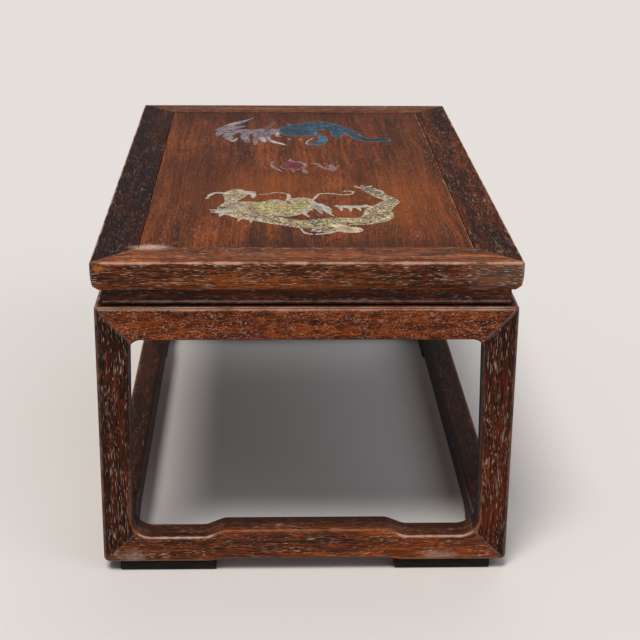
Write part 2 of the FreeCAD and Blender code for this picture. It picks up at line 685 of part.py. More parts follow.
def make_waist(plans):
    """The four strips of the waist, mitred at the corners, with a fine quirk over the aprons."""
    body = doc.addObject("PartDesign::Body", "waist_blank")
    low = less(LEDGE, "waist_seat")
    face_x, face_y = less(STAND_X, "waist_inset"), less(STAND_Y, "waist_inset")
    pad(body, "waist_block", draw(body, "waist_plan", "XY_Plane", [centred(face_x, face_y)], low),
        add("waist_height", "waist_seat"))
    hollow = [centred(less(face_x, "waist_thick"), less(face_y, "waist_thick"))]
    cut(body, "waist_hollow", draw(body, "waist_hollow_plan", "XY_Plane", hollow, low),
        add("waist_height", "waist_seat"), True)
    quirk = [centred(add(face_x, "overrun"), add(face_y, "overrun")),
             centred(less(face_x, "quirk_depth"), less(face_y, "quirk_depth"))]
    cut(body, "waist_quirk", draw(body, "quirk_plan", "XY_Plane", quirk, LEDGE), "quirk_height", True)
    return {f"waist_{name}": common(f"waist_{name}", body, plans[name]) for name, along_x, sign in SIDES}


def make_foot(corner, side_x, side_y):
    """An L-shaped pad under one corner, set well in from the long side, its foot chamfered."""
    body = doc.addObject("PartDesign::Body", f"foot_{corner}")
    back, inside = add("pad_inset", "pad_width"), add("pad_side_inset", "pad_side_width")
    arms = [("pad_side_inset", "pad_inset"), ("pad_reach", "pad_inset"), ("pad_reach", back), (inside, back),
            (inside, "pad_reach"), ("pad_side_inset", "pad_reach")]
    corners = [(signed(side_x, less(STAND_X, across)), signed(side_y, less(STAND_Y, along)))
               for across, along in arms]
    pad(body, f"foot_block_{corner}", draw(body, f"foot_plan_{corner}", "XY_Plane", [corners]), "pad_thick")
    tiny = reading("pad_chamfer") / 10
    round_edges(body, f"foot_chamfer_{corner}", "pad_chamfer", lambda box: box.ZMax < tiny, "Chamfer")
    return body


def write_steps(nodes):
    """Check every object and write one file for each sub-part."""
    doc.recompute()
    for item in doc.Objects:
        if {"Invalid", "Error"} & set(item.State):
            raise RuntimeError(f"{item.Name} failed: {item.State}")
    for name, node in nodes.items():
        shape = node.Shape
        if shape.isNull() or not shape.isValid() or len(shape.Solids) != 1:
            raise RuntimeError(f"{name} is not one sound solid")
    os.makedirs("parts", exist_ok=True)
    for name, node in nodes.items():
        node.Label = name
        node.Shape.exportStep(f"parts/{name}.step")
        print(f"{name}: {node.Shape.Volume:.0f} mm3")


def main():
    """Build every sub-part and write it."""
    nodes = make_top()
    stand, plans = make_stand()
    nodes.update(stand)
    nodes.update(make_waist(plans))
    for corner, side_x, side_y in CORNERS:
        nodes[f"foot_{corner}"] = make_foot(corner, side_x, side_y)
    write_steps(nodes)


main()
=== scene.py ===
"""Looks of a small lacquered kang table: the finish of each piece, the painted figures, and the studio."""

import logging
import math
from dataclasses import dataclass
from enum import Enum
from typing import Any, Dict, Iterable, List, Optional, Sequence, Tuple, Union

import bpy
import numpy as np
from mathutils import Matrix, Vector, noise


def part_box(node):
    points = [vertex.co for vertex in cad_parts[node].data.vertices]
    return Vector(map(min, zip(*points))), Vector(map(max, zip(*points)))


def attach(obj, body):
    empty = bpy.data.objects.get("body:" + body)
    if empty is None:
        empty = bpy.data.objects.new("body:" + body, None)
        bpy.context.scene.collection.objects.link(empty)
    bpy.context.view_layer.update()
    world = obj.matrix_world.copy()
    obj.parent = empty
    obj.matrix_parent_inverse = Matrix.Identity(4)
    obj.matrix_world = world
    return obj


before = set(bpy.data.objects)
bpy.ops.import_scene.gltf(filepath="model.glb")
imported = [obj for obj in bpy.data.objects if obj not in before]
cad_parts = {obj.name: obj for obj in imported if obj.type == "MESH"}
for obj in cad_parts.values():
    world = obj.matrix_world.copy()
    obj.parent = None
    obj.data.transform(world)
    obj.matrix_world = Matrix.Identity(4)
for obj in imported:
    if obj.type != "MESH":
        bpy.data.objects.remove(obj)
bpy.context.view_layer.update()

MM = 0.001
# A noise has this middle, and seldom leaves it by more than this swing.
NOISE_MIDDLE = 0.5
NOISE_SWING = 0.2
ENDS = ("front", "back")
FLANKS = ("left", "right")
CORNERS = ("front_left", "front_right", "back_left", "back_right")
# How finely the strokes and the outlines of the figures are followed.
STROKE_STEP_MM = 0.7
OUTLINE_STEP_MM = 1.5
# A length beyond any figure, and one that stands for none.
FAR_MM = 99.0
TINY = 1e-9
# The width, length and shift of the noises that fray a figure's rim, streak it and rub holes in it.
FRAY_CELLS_MM = ((2.4, 3.4, 0), (0.9, 5.0, 9), (2.2, 4.5, 5))
log = logging.getLogger("kang_table")

Node = bpy.types.Node
Tree = bpy.types.NodeTree
Source = Union[Node, bpy.types.NodeSocket, float, Sequence[float]]
Triple = Tuple[float, float, float]
Grid = np.ndarray


class Grain(Enum):
    """The way the fibres of a piece of wood run."""

    X = 0
    Y = 1
    Z = 2


class Pigment(Enum):
    """The colours of lacquer that the figures are painted in."""

    CREAM = "#d1c09c"
    STRAW = "#cbc27c"
    TAN = "#a08460"
    GREY = "#b0aaa0"
    ASH = "#85837f"
    BLACK = "#1b1411"
    TEAL = "#30556a"
    NAVY = "#263545"
    BRIGHT_TEAL = "#2f7083"
    LILAC = "#776a72"
    SLATE = "#707478"
    PEARL_WHITE = "#b3a29d"
    PLUM = "#5a3f49"
    DUSK = "#816664"
    CRIMSON = "#682031"
    ROSE = "#86505a"


def linear(hex_colour: str) -> Tuple[float, float, float, float]:
    """Turn an sRGB hex colour into the linear colour that a shader takes.

    Args:
        hex_colour: the colour as "#rrggbb".

    Returns:
        Red, green, blue and alpha.
    """
    channels = [int(hex_colour[start:start + 2], 16) / 255 for start in (1, 3, 5)]
    red, green, blue = (c / 12.92 if c <= 0.04045 else ((c + 0.055) / 1.055) ** 2.4 for c in channels)
    return (red, green, blue, 1.0)


def add_node(tree: Tree, kind: str, inputs: Optional[Dict[Union[int, str], Source]] = None,
             **settings: Any) -> Node:
    """Add a node to a tree, with its settings, and fill its inputs.

    Args:
        tree: the node tree.
        kind: the node's type, without the ShaderNode that all of them begin with.
        inputs: what goes into each shown input, by its name or number: a value, a socket, or a node,
            which stands for its first shown output.
        settings: the node's own properties.

    Returns:
        The new node.
    """
    node = tree.nodes.new("ShaderNode" + kind)
    for name, setting in settings.items():
        setattr(node, name, setting)
    shown = [socket for socket in node.inputs if socket.enabled]
    for key, source in (inputs or {}).items():
        socket = shown[key] if isinstance(key, int) else next(one for one in shown if one.name == key)
        if isinstance(source, Node):
            source = next(one for one in source.outputs if one.enabled)
        if isinstance(source, bpy.types.NodeSocket):
            tree.links.new(source, socket)
        else:
            socket.default_value = source
    return node


def blend(tree: Tree, share: Source, under: Source, over: Source) -> Node:
    """Lay one colour over another.

    Args:
        tree: the material's node tree.
        share: how much of the upper colour shows.
        under: the lower colour, as a hex string or a node.
        over: the upper colour, as a hex string or a node.

    Returns:
        A node with the colour.
    """
    colours = [linear(one) if isinstance(one, str) else one for one in (under, over)]
    return add_node(tree, "Mix", {"Factor": share, "A": colours[0], "B": colours[1]}, data_type="RGBA")


def new_material(name: str) -> Tuple[bpy.types.Material, Tree, bpy.types.NodeSocket]:
    """Start a material.

    Args:
        name: what the real material is.

    Returns:
        The material, its empty node tree, and the place on the object in metres.
    """
    material = bpy.data.materials.new(name)
    material.use_nodes = True
    tree = material.node_tree
    tree.nodes.clear()
    place = add_node(tree, "TexCoord").outputs["Object"]
    return material, tree, place


def finish_material(tree: Tree, colour: Source, roughness: Source, height: Source,
                    depth_mm: float, **constants: Any) -> None:
    """Join a colour, a roughness and a height to a surface shader.

    Args:
        tree: the material's node tree.
        colour: the base colour.
        roughness: the roughness.
        height: the relief, from 0 to 1.
        depth_mm: how deep that relief is.
        constants: values of other inputs of the shader, with _ for the space in their names.
    """
    relief = add_node(tree, "Bump", {"Height": height, "Distance": depth_mm * MM, "Strength": 1.0})
    inputs = {"Base Color": colour, "Roughness": roughness, "Normal": relief}
    inputs.update({name.replace("_", " "): value for name, value in constants.items()})
    shader = add_node(tree, "BsdfPrincipled", inputs)
    add_node(tree, "OutputMaterial", {"Surface": shader})


@dataclass(frozen=True)
class Mark:
    """Something that use and age left on a finish: worn wood, an open joint, caked dust or a stain.

    It covers what lies within reach_mm of the form that it follows, and fades out over soft_mm. Its rim
    wanders by about ragged_mm, in patches of patch_mm.
    """

    colour: str
    reach_mm: float
    strength: float = 1.0
    ragged_mm: float = 1.0
    patch_mm: float = 6.0
    soft_mm: float = 0.6
    roughness: float = 0.55

    def distance(self, tree: Tree, place: Source) -> Node:
        """The distance in millimetres from what the mark follows."""
        raise NotImplementedError

    def mask(self, tree: Tree, place: Source) -> Node:
        """How much of the mark shows at a place, with an uneven rim.

        Args:
            tree: the material's node tree.
            place: the place on the object in metres.

        Returns:
            A node from 0, none, to the mark's strength.
        """
        uneven = add_node(tree, "TexNoise", {"Vector": place, "Scale": 1 / (self.patch_mm * MM),
                                             "Detail": 4.0, "Roughness": 0.65})
        swing = add_node(tree, "Math", {0: uneven, 1: NOISE_MIDDLE}, operation="SUBTRACT")
        spread = add_node(tree, "Math", {0: swing, 1: self.ragged_mm / NOISE_SWING,
                                         2: self.distance(tree, place)}, operation="MULTIPLY_ADD")
        near, far = self.reach_mm - self.soft_mm, self.reach_mm + self.soft_mm
        return add_node(tree, "MapRange", {"Value": spread, "From Min": near, "From Max": far,
                                           "To Min": self.strength, "To Max": 0.0},
                        interpolation_type="SMOOTHSTEP")


@dataclass(frozen=True)
class BoxMark(Mark):
    """A mark that follows a box."""

    low: Triple = (0, 0, 0)
    high: Triple = (0, 0, 0)

    def outside(self, tree: Tree, place: Source) -> Tuple[bpy.types.NodeSocket, ...]:
        """How far a place lies outside the box along each axis, negative where it lies between the faces.

        Args:
            tree: the material's node tree.
            place: the place on the object in metres.

        Returns:
            Three sockets with metres, for X, Y and Z.
        """
        middle = [(a + b) / 2 for a, b in zip(self.low, self.high)]
        half = [(b - a) / 2 for a, b in zip(self.low, self.high)]
        centred = add_node(tree, "VectorMath", {0: place, 1: middle}, operation="SUBTRACT")
        folded = add_node(tree, "VectorMath", {0: centred}, operation="ABSOLUTE")
        past = add_node(tree, "VectorMath", {0: folded, 1: half}, operation="SUBTRACT")
        return tuple(add_node(tree, "SeparateXYZ", {0: past}).outputs)


@dataclass(frozen=True)
class ArrisMark(BoxMark):
    """A mark along the outer edges of a box."""

    def distance(self, tree: Tree, place: Source) -> Node:
        """The distance from the nearest edge of the box: the middle one of the depths under its faces.

        Args:
            tree: the material's node tree.
            place: the place on the object in metres.

        Returns:
            A node with millimetres.
        """
        first, second, third = self.outside(tree, place)
        lesser = add_node(tree, "Math", {0: first, 1: second}, operation="MINIMUM")
        greater = add_node(tree, "Math", {0: first, 1: second}, operation="MAXIMUM")
        inner = add_node(tree, "Math", {0: greater, 1: third}, operation="MINIMUM")
        edge = add_node(tree, "Math", {0: lesser, 1: inner}, operation="MAXIMUM")
        return add_node(tree, "Math", {0: edge, 1: -1 / MM}, operation="MULTIPLY")


@dataclass(frozen=True)
class CornerMark(BoxMark):
    """A mark in the inner corner round the foot of a box, on whatever the box stands on."""

    def distance(self, tree: Tree, place: Source) -> Node:
        """The distance outside the box.

        Args:
            tree: the material's node tree.
            place: the place on the object in metres.

        Returns:
            A node with millimetres.
        """
        first, second, third = self.outside(tree, place)
        wide = add_node(tree, "Math", {0: first, 1: second}, operation="MAXIMUM")
        out = add_node(tree, "Math", {0: wide, 1: third}, operation="MAXIMUM")
        return add_node(tree, "Math", {0: out, 1: 1 / MM}, operation="MULTIPLY")


@dataclass(frozen=True)
class LineMark(Mark):
    """A mark along a plane, such as a mitre, mirrored to every side of the table unless it is single."""

    normal: Triple = (0, 0, 1)
    through: Triple = (0, 0, 0)
    single: bool = False

    def distance(self, tree: Tree, place: Source) -> Node:
        """The distance from the plane.

        Args:
            tree: the material's node tree.
            place: the place on the object in metres.

        Returns:
            A node with millimetres.
        """
        unit = Vector(self.normal).normalized()
        spot = place if self.single else add_node(tree, "VectorMath", {0: place}, operation="ABSOLUTE")
        along = add_node(tree, "VectorMath", {0: spot, 1: unit}, operation="DOT_PRODUCT").outputs["Value"]
        off = add_node(tree, "Math", {0: along, 1: unit.dot(Vector(self.through))}, operation="SUBTRACT")
        far = add_node(tree, "Math", {0: off}, operation="ABSOLUTE")
        return add_node(tree, "Math", {0: far, 1: 1 / MM}, operation="MULTIPLY")


@dataclass(frozen=True)
class SpotMark(Mark):
    """A mark round one place, as long and wide as its radii."""

    centre: Triple = (0, 0, 0)
    radii: Triple = (1, 1, 1)

    def distance(self, tree: Tree, place: Source) -> Node:
        """The distance from the centre, in shares of the radii times the mark's reach.

        Args:
            tree: the material's node tree.
            place: the place on the object in metres.

        Returns:
            A node that is the reach on the spot's rim.
        """
        off = add_node(tree, "VectorMath", {0: place, 1: self.centre}, operation="SUBTRACT")
        scaled = add_node(tree, "VectorMath", {0: off, 1: self.radii}, operation="DIVIDE")
        length = add_node(tree, "VectorMath", {0: scaled}, operation="LENGTH").outputs["Value"]
        return add_node(tree, "Math", {0: length, 1: self.reach_mm}, operation="MULTIPLY")


@dataclass(frozen=True)
class OpeningMark(BoxMark):
    """A mark along the outer rim of a round-cornered opening with a raised sill, seen along X or Y.

    The sill rises by rise between rise_outer and rise_inner from the middle. The mark shows on the face that
    lies face from the middle, and fades towards the top of the opening, by fade_mm there.
    """

    corner: float = 10 * MM
    through: Grain = Grain.Y
    face: float = 250 * MM
    fade_mm: float = 3.0
    rise: float = 5.5 * MM
    rise_inner: float = 60 * MM
    rise_outer: float = 73 * MM

    def levelled(self, tree: Tree, seen: Source, middle: float) -> Node:
        """A place with the sill's rise taken off it, so that the opening is a plain one.

        Args:
            tree: the material's node tree.
            seen: the place in metres, with 0 along the way through the opening.
            middle: the height of the opening's middle, above which nothing rises.

        Returns:
            A node with the place.
        """
        first, second, third = add_node(tree, "SeparateXYZ", {0: seen}).outputs
        way = add_node(tree, "Math", {0: first, 1: second}, operation="ADD")
        way = add_node(tree, "Math", {0: way}, operation="ABSOLUTE")
        step = add_node(tree, "MapRange", {"Value": way, "From Min": self.rise_inner,
                                           "From Max": self.rise_outer, "To Min": self.rise, "To Max": 0.0},
                        interpolation_type="SMOOTHSTEP")
        below = add_node(tree, "Math", {0: third, 1: middle}, operation="LESS_THAN")
        step = add_node(tree, "Math", {0: step, 1: below}, operation="MULTIPLY")
        step = add_node(tree, "CombineXYZ", {"Z": step})
        return add_node(tree, "VectorMath", {0: seen, 1: step}, operation="SUBTRACT")

    def distance(self, tree: Tree, place: Source) -> Node:
        """The distance from the rim.

        Args:
            tree: the material's node tree.
            place: the place on the object in metres.

        Returns:
            A node with millimetres, more of them towards the top of the opening.
        """
        flat = [0.0 if axis is self.through else 1.0 for axis in Grain]
        middle = [(a + b) / 2 * keep for a, b, keep in zip(self.low, self.high, flat)]
        straight = [((b - a) / 2 - self.corner) * keep for a, b, keep in zip(self.low, self.high, flat)]
        seen = add_node(tree, "VectorMath", {0: place, 1: flat}, operation="MULTIPLY")
        level = self.levelled(tree, seen, middle[2])
        centred = add_node(tree, "VectorMath", {0: level, 1: middle}, operation="SUBTRACT")
        folded = add_node(tree, "VectorMath", {0: centred}, operation="ABSOLUTE")
        past = add_node(tree, "VectorMath", {0: folded, 1: straight}, operation="SUBTRACT")
        outside = add_node(tree, "VectorMath", {0: past, 1: (0, 0, 0)}, operation="MAXIMUM")
        length = add_node(tree, "VectorMath", {0: outside}, operation="LENGTH").outputs["Value"]
        off = add_node(tree, "Math", {0: length, 1: self.corner}, operation="SUBTRACT")
        far = add_node(tree, "Math", {0: off}, operation="ABSOLUTE")
        folded = add_node(tree, "VectorMath", {0: place}, operation="ABSOLUTE")
        outward = add_node(tree, "SeparateXYZ", {0: folded}).outputs[self.through.value]
        under = add_node(tree, "Math", {0: self.face, 1: outward}, operation="SUBTRACT")
        edge = add_node(tree, "Math", {0: far, 1: under}, operation="MAXIMUM")
        height = add_node(tree, "SeparateXYZ", {0: seen}).outputs["Z"]
        graded = add_node(tree, "MapRange", {"Value": height, "From Min": self.low[2],
                                            "From Max": self.high[2], "To Max": self.fade_mm})
        return add_node(tree, "Math", {0: edge, 1: 1 / MM, 2: graded}, operation="MULTIPLY_ADD")


@dataclass(frozen=True)
class FilledHardwood:
    """Open-pored hardwood, planed, its pores caked with pale filler, under an old worn lacquer.

    It gives the eye a red-brown ground with near-black figure, fine fibres, and short cream flecks along the
    grain. Real fibres and pores are 0.1 to 0.2 mm wide. They are drawn at least twice as wide, so that they
    show.
    """

    name: str
    grain: Grain
    dark: str
    mid: str
    warm: str
    filler: str = "#c8ac9a"
    figure_mm: Tuple[float, float] = (110.0, 9.0)
    streak_mm: Tuple[float, float] = (26.0, 1.9)
    fibre_mm: Tuple[float, float] = (12.0, 0.5)
    pore_mm: Tuple[float, float] = (5.5, 0.3)
    bend_mm: float = 55.0
    sway_mm: float = 5.0
    relief_mm: float = 0.16
    fibre_height: float = 0.4
    pore_depth: float = 0.6
    pore_shade: float = 0.85
    pore_roughness: float = 0.75
    contrast: float = 1.0
    filled: float = 0.6
    cake: float = 0.85
    empty: float = 0.7
    roughness: float = 0.42
    uneven: float = 0.08
    gloss: float = 0.2
    top_tone: float = 1.0
    marks: Tuple[Mark, ...] = ()

    def stretched(self, tree: Tree, place: Source, cell_mm: Tuple[float, float], shift: float, detail: float,
                  low: float, high: float, floor: float = 0.0, ceiling: float = 1.0) -> Node:
        """A noise whose cells are drawn out along the grain, spread over a range.

        Args:
            tree: the material's node tree.
            place: the place in the wood in metres.
            cell_mm: the cell's length along the grain and its width across it.
            shift: how far the pattern is moved, in cells, so that two patterns differ.
            detail: how many finer layers it has.
            low: the noise that gives the floor.
            high: the noise that gives the ceiling.
            floor: the least value.
            ceiling: the greatest value.

        Returns:
            A node with the pattern.
        """
        length, width = cell_mm
        scale = [1 / (width * MM)] * 3
        scale[self.grain.value] = 1 / (length * MM)
        spot = add_node(tree, "Mapping", {"Vector": place, "Scale": scale, "Location": (shift,) * 3})
        cloud = add_node(tree, "TexNoise", {"Vector": spot, "Scale": 1.0, "Detail": detail,
                                            "Roughness": 0.6})
        return add_node(tree, "MapRange", {"Value": cloud, "From Min": low, "From Max": high,
                                           "To Min": floor, "To Max": ceiling},
                        interpolation_type="SMOOTHSTEP")

    def wavy(self, tree: Tree, place: Source) -> Node:
        """Shift the place in the wood a little, so that the grain wavers.

        Args:
            tree: the material's node tree.
            place: the place on the object in metres.

        Returns:
            A node with the place in the wood.
        """
        bends = add_node(tree, "TexNoise", {"Vector": place, "Scale": 1 / (self.bend_mm * MM),
                                            "Detail": 0.0})
        bends = add_node(tree, "VectorMath", {0: bends.outputs["Color"], 1: (NOISE_MIDDLE,) * 3},
                         operation="SUBTRACT")
        return add_node(tree, "VectorMath", {0: bends, 1: (self.sway_mm * MM,) * 3, 2: place},
                        operation="MULTIPLY_ADD")

    def ground(self, tree: Tree, wood: Source, fibres: Source) -> Node:
        """The colour of the wood before its pores: broad figure, stains, streaks and fibres.

        Args:
            tree: the material's node tree.
            wood: the place in the wood in metres.
            fibres: the pattern of fine fibres, from 0 to 1.

        Returns:
            A node with the colour.
        """
        length, width = self.figure_mm
        figure = self.stretched(tree, wood, self.figure_mm, shift=0.0, detail=3.0, low=0.32, high=0.62)
        stain = self.stretched(tree, wood, (length * 1.4, width * 1.7), shift=7.0, detail=3.0, low=0.42,
                               high=0.7)
        streaks = self.stretched(tree, wood, self.streak_mm, shift=2.0, detail=3.0, low=0.34, high=0.66,
                                 floor=1 - 0.5 * self.contrast, ceiling=1 + 0.4 * self.contrast)
        colour = blend(tree, stain, blend(tree, figure, self.dark, self.mid), self.warm)
        for tint, end, most in ((self.warm, 0.95, 0.7), (self.dark, 0.05, 0.75)):
            share = add_node(tree, "MapRange", {"Value": fibres, "From Min": 0.5, "From Max": end,
                                                "To Max": most * self.contrast})
            colour = blend(tree, share, colour, tint)
        # A tone on the upward faces: the top rails' tops lighter, and the stretchers' tops darker as painted
        # shade.
        facing = add_node(tree, "TexCoord").outputs["Normal"]
        upward = add_node(tree, "SeparateXYZ", {0: facing}).outputs["Z"]
        graded = add_node(tree, "MapRange", {"Value": upward, "From Min": 0.7, "From Max": 1.0,
                                            "To Min": 1.0, "To Max": self.top_tone})
        tone = add_node(tree, "Math", {0: streaks, 1: graded}, operation="MULTIPLY")
        return add_node(tree, "VectorMath", {0: colour, 1: tone}, operation="MULTIPLY")

    def pores(self, tree: Tree, wood: Source, share: float, shift: float) -> Node:
        """The open pores, as short flecks along the grain, crowded in places.

        Args:
            tree: the material's node tree.
            wood: the place in the wood in metres.
            share: how many there are, from 0 to 1.
            shift: how far the pattern is moved, in cells.

        Returns:
            A node that is 1 in every pore.
        """
        length, width = self.pore_mm
        flecks = self.stretched(tree, wood, self.pore_mm, shift, detail=0.0, low=0.0, high=1.0)
        crowd = self.stretched(tree, wood, (length * 4, width * 14), shift + 5, detail=1.0, low=0.3,
                               high=0.7, floor=-0.08, ceiling=0.06)
        level = add_node(tree, "Math", {0: flecks, 1: crowd}, operation="ADD")
        scarce, common, soft = 0.86, 0.7, 0.05
        limit = scarce + (common - scarce) * share
        return add_node(tree, "MapRange", {"Value": level, "From Min": limit, "From Max": limit + soft})

    def build(self) -> bpy.types.Material:
        """Make the material.

        Returns:
            The material, with the wood's marks on it.
        """
        material, tree, place = new_material(self.name)
        wood = self.wavy(tree, place)
        fibres = self.stretched(tree, wood, self.fibre_mm, shift=1.0, detail=3.0, low=0.3, high=0.7)
        filled = self.pores(tree, wood, self.filled, shift=11.0)
        empty = self.pores(tree, wood, self.empty, shift=23.0)
        colour = self.ground(tree, wood, fibres)
        shade = add_node(tree, "Math", {0: empty, 1: self.pore_shade}, operation="MULTIPLY")
        cover = add_node(tree, "Math", {0: filled, 1: self.cake}, operation="MULTIPLY")
        colour = blend(tree, cover, blend(tree, shade, colour, self.dark), self.filler)
        rough = add_node(tree, "MapRange", {"Value": fibres, "To Min": self.roughness - self.uneven,
                                            "To Max": self.roughness + self.uneven})
        pore = add_node(tree, "Math", {0: filled, 1: empty}, operation="MAXIMUM")
        rough = add_node(tree, "Mix", {"Factor": pore, "A": rough, "B": self.pore_roughness})
        for mark in self.marks:
            shown = mark.mask(tree, place)
            colour = blend(tree, shown, colour, mark.colour)
            rough = add_node(tree, "Mix", {"Factor": shown, "A": rough, "B": mark.roughness})
        hollow = add_node(tree, "Math", {0: pore, 1: -self.pore_depth}, operation="MULTIPLY")
        height = add_node(tree, "Math", {0: fibres, 1: self.fibre_height, 2: hollow},
                          operation="MULTIPLY_ADD")
        finish_material(tree, colour, rough, height, self.relief_mm, IOR=1.45, Specular_IOR_Level=self.gloss)
        return material


@dataclass(frozen=True)
class FigurePaint:
    """Coloured lacquer brushed on in a thin film, now crazed, rubbed and flecked with the wood below.

    It gives the eye soft mixed colours with a dark net, like scales, streaks of the brush, a paler rim, and
    bare specks.
    """

    name: str
    net: str = "#4d3a28"
    rim: str = "#9d948c"
    bare: str = "#5a2c17"
    scale_mm: Tuple[float, float] = (2.7, 2.0)
    brush_mm: Tuple[float, float] = (8.0, 0.5)
    rub_mm: float = 1.6
    relief_mm: float = 0.06
    rubbed: float = 0.3
    mottle: Tuple[float, float] = (0.7, 1.35)
    waver_mm: float = 7.0
    sway_mm: float = 9.0
    roughness: float = 0.55
    uneven: float = 0.1

    def build(self) -> bpy.types.Material:
        """Make the material.

        Returns:
            The material, which takes its colours and the lay of the brush from the film's mesh.
        """
        material, tree, place = new_material(self.name)
        colour = add_node(tree, "Attribute", attribute_name="paint")
        lay = add_node(tree, "Attribute", attribute_name="lay").outputs["Vector"]
        waver = add_node(tree, "TexNoise", {"Vector": place, "Scale": 1 / (self.waver_mm * MM),
                                            "Detail": 1.0}).outputs["Color"]
        lay = add_node(tree, "VectorMath", {0: waver, 1: (self.sway_mm, self.sway_mm, 0.0), 2: lay},
                       operation="MULTIPLY_ADD")
        scaly = add_node(tree, "Attribute", attribute_name="scales").outputs["Fac"]
        depth = add_node(tree, "Attribute", attribute_name="depth").outputs["Fac"]

        along, across = self.brush_mm
        brush = add_node(tree, "Mapping", {"Vector": lay, "Scale": (1 / along, 1 / across, 1)})
        brush = add_node(tree, "TexNoise", {"Vector": brush, "Scale": 1.0, "Detail": 2.0})
        darkest, palest = self.mottle
        tone = add_node(tree, "MapRange", {"Value": brush, "From Min": 0.3, "From Max": 0.7,
                                           "To Min": darkest, "To Max": palest})
        colour = add_node(tree, "VectorMath", {0: colour, 1: tone}, operation="MULTIPLY")

        along, across = self.scale_mm
        rows = add_node(tree, "Mapping", {"Vector": lay, "Scale": (1 / along, 1 / across, 1)})
        cells = add_node(tree, "TexVoronoi", {"Vector": rows, "Scale": 1.0, "Randomness": 0.7},
                         feature="DISTANCE_TO_EDGE")
        line = add_node(tree, "MapRange", {"Value": cells, "From Min": 0.05, "From Max": 0.2,
                                           "To Min": 0.85, "To Max": 0.0})
        line = add_node(tree, "Math", {0: line, 1: scaly}, operation="MULTIPLY")
        colour = blend(tree, line, colour, self.net)

        edge = add_node(tree, "MapRange", {"Value": depth, "From Min": 0.5, "From Max": 1.7,
                                           "To Min": 0.65, "To Max": 0.0})
        colour = blend(tree, edge, colour, self.rim)

        scale = 1 / (self.rub_mm * MM)
        rub = add_node(tree, "Mapping", {"Vector": place, "Scale": (scale, 0.45 * scale, 1)})
        rub = add_node(tree, "TexNoise", {"Vector": rub, "Scale": 1.0, "Detail": 4.0, "Roughness": 0.7})
        scarce, common, soft = 0.72, 0.42, 0.05
        limit = scarce + (common - scarce) * self.rubbed
        rub = add_node(tree, "MapRange", {"Value": rub, "From Min": limit, "From Max": limit + soft,
                                          "To Min": 0.0, "To Max": 0.85})
        colour = blend(tree, rub, colour, self.bare)
        height = add_node(tree, "Math", {0: rub, 1: line}, operation="MAXIMUM")
        height = add_node(tree, "Math", {0: 1.0, 1: height}, operation="SUBTRACT")
        rough = add_node(tree, "MapRange", {"Value": brush, "To Min": self.roughness - self.uneven,
                                            "To Max": self.roughness + self.uneven})
        finish_material(tree, colour, rough, height, self.relief_mm, IOR=1.45, Specular_IOR_Level=0.35)
        return material


def bend(points: Sequence[Sequence[float]], step: float, closed: bool = False) -> Grid:
    """Run a smooth line through points.

    Args:
        points: the points, each with any further values to carry along.
        step: about how far apart the places on the line are.
        closed: whether the line comes back to its first point.

    Returns:
        The places on the line, one row each, with their carried values.
    """
    rows = np.array(points, float)
    if closed:
        rows = np.vstack([rows[-1:], rows, rows[:2]])
    else:
        rows = np.vstack([2 * rows[0] - rows[1], rows, 2 * rows[-1] - rows[-2]])
    places = []
    for before, start, end, after in zip(rows, rows[1:], rows[2:], rows[3:]):
        count = max(2, round(float(np.hypot(*(end - start)[:2])) / step))
        t = np.arange(count)[:, None] / count
        slope, curve = end - before, 2 * before - 5 * start + 4 * end - after
        twist = 3 * start - before - 3 * end + after
        places.append(0.5 * (2 * start + slope * t + curve * t ** 2 + twist * t ** 3))
    return np.vstack(places + ([] if closed else [rows[-2:-1]]))


@dataclass(frozen=True)
class Dab:
    """One touch of paint: its pigment, how softly it ends, how much it covers, and whether it is scaly.

    All its lengths are millimetres on the panel. A dab that is a tint adds nothing to the figure's outline.
    """

    pigment: Pigment
    points: Tuple[float, ...]
    soft: float = 0.6
    cover: float = 1.0
    scaly: float = 0.0
    tint: bool = False

    def spread(self, x: Grid, y: Grid) -> Tuple[Grid, Grid, Grid]:
        """How deep places lie in the dab, and where along and across it."""
        raise NotImplementedError


@dataclass(frozen=True)
class Stroke(Dab):
    """A stroke along a line, of flat rows x, y, half width."""

    def spread(self, x: Grid, y: Grid) -> Tuple[Grid, Grid, Grid]:
        """How deep places lie in the stroke, and where along and across it.

        Args:
            x: the places' x.
            y: the places' y.

        Returns:
            The depth inside the rim, negative outside, the way along the stroke, and the way across it.
        """
        line = bend(list(zip(self.points[0::3], self.points[1::3], self.points[2::3])), STROKE_STEP_MM)
        steps = np.hypot(*np.diff(line[:, :2], axis=0).T)
        along = np.concatenate([[0], np.cumsum(steps)])
        aim = np.gradient(line[:, :2], axis=0)
        aim /= np.maximum(np.hypot(*aim.T), TINY)[:, None]
        depth = np.full(x.shape, -FAR_MM)
        nearest = np.zeros(x.shape, int)
        for index, (px, py, half) in enumerate(line):
            found = half - np.hypot(x - px, y - py)
            better = found > depth
            depth[better] = found[better]
            nearest[better] = index
        off_x, off_y = x - line[nearest, 0], y - line[nearest, 1]
        aim_x, aim_y = aim[nearest, 0], aim[nearest, 1]
        return depth, along[nearest] + off_x * aim_x + off_y * aim_y, off_y * aim_x - off_x * aim_y


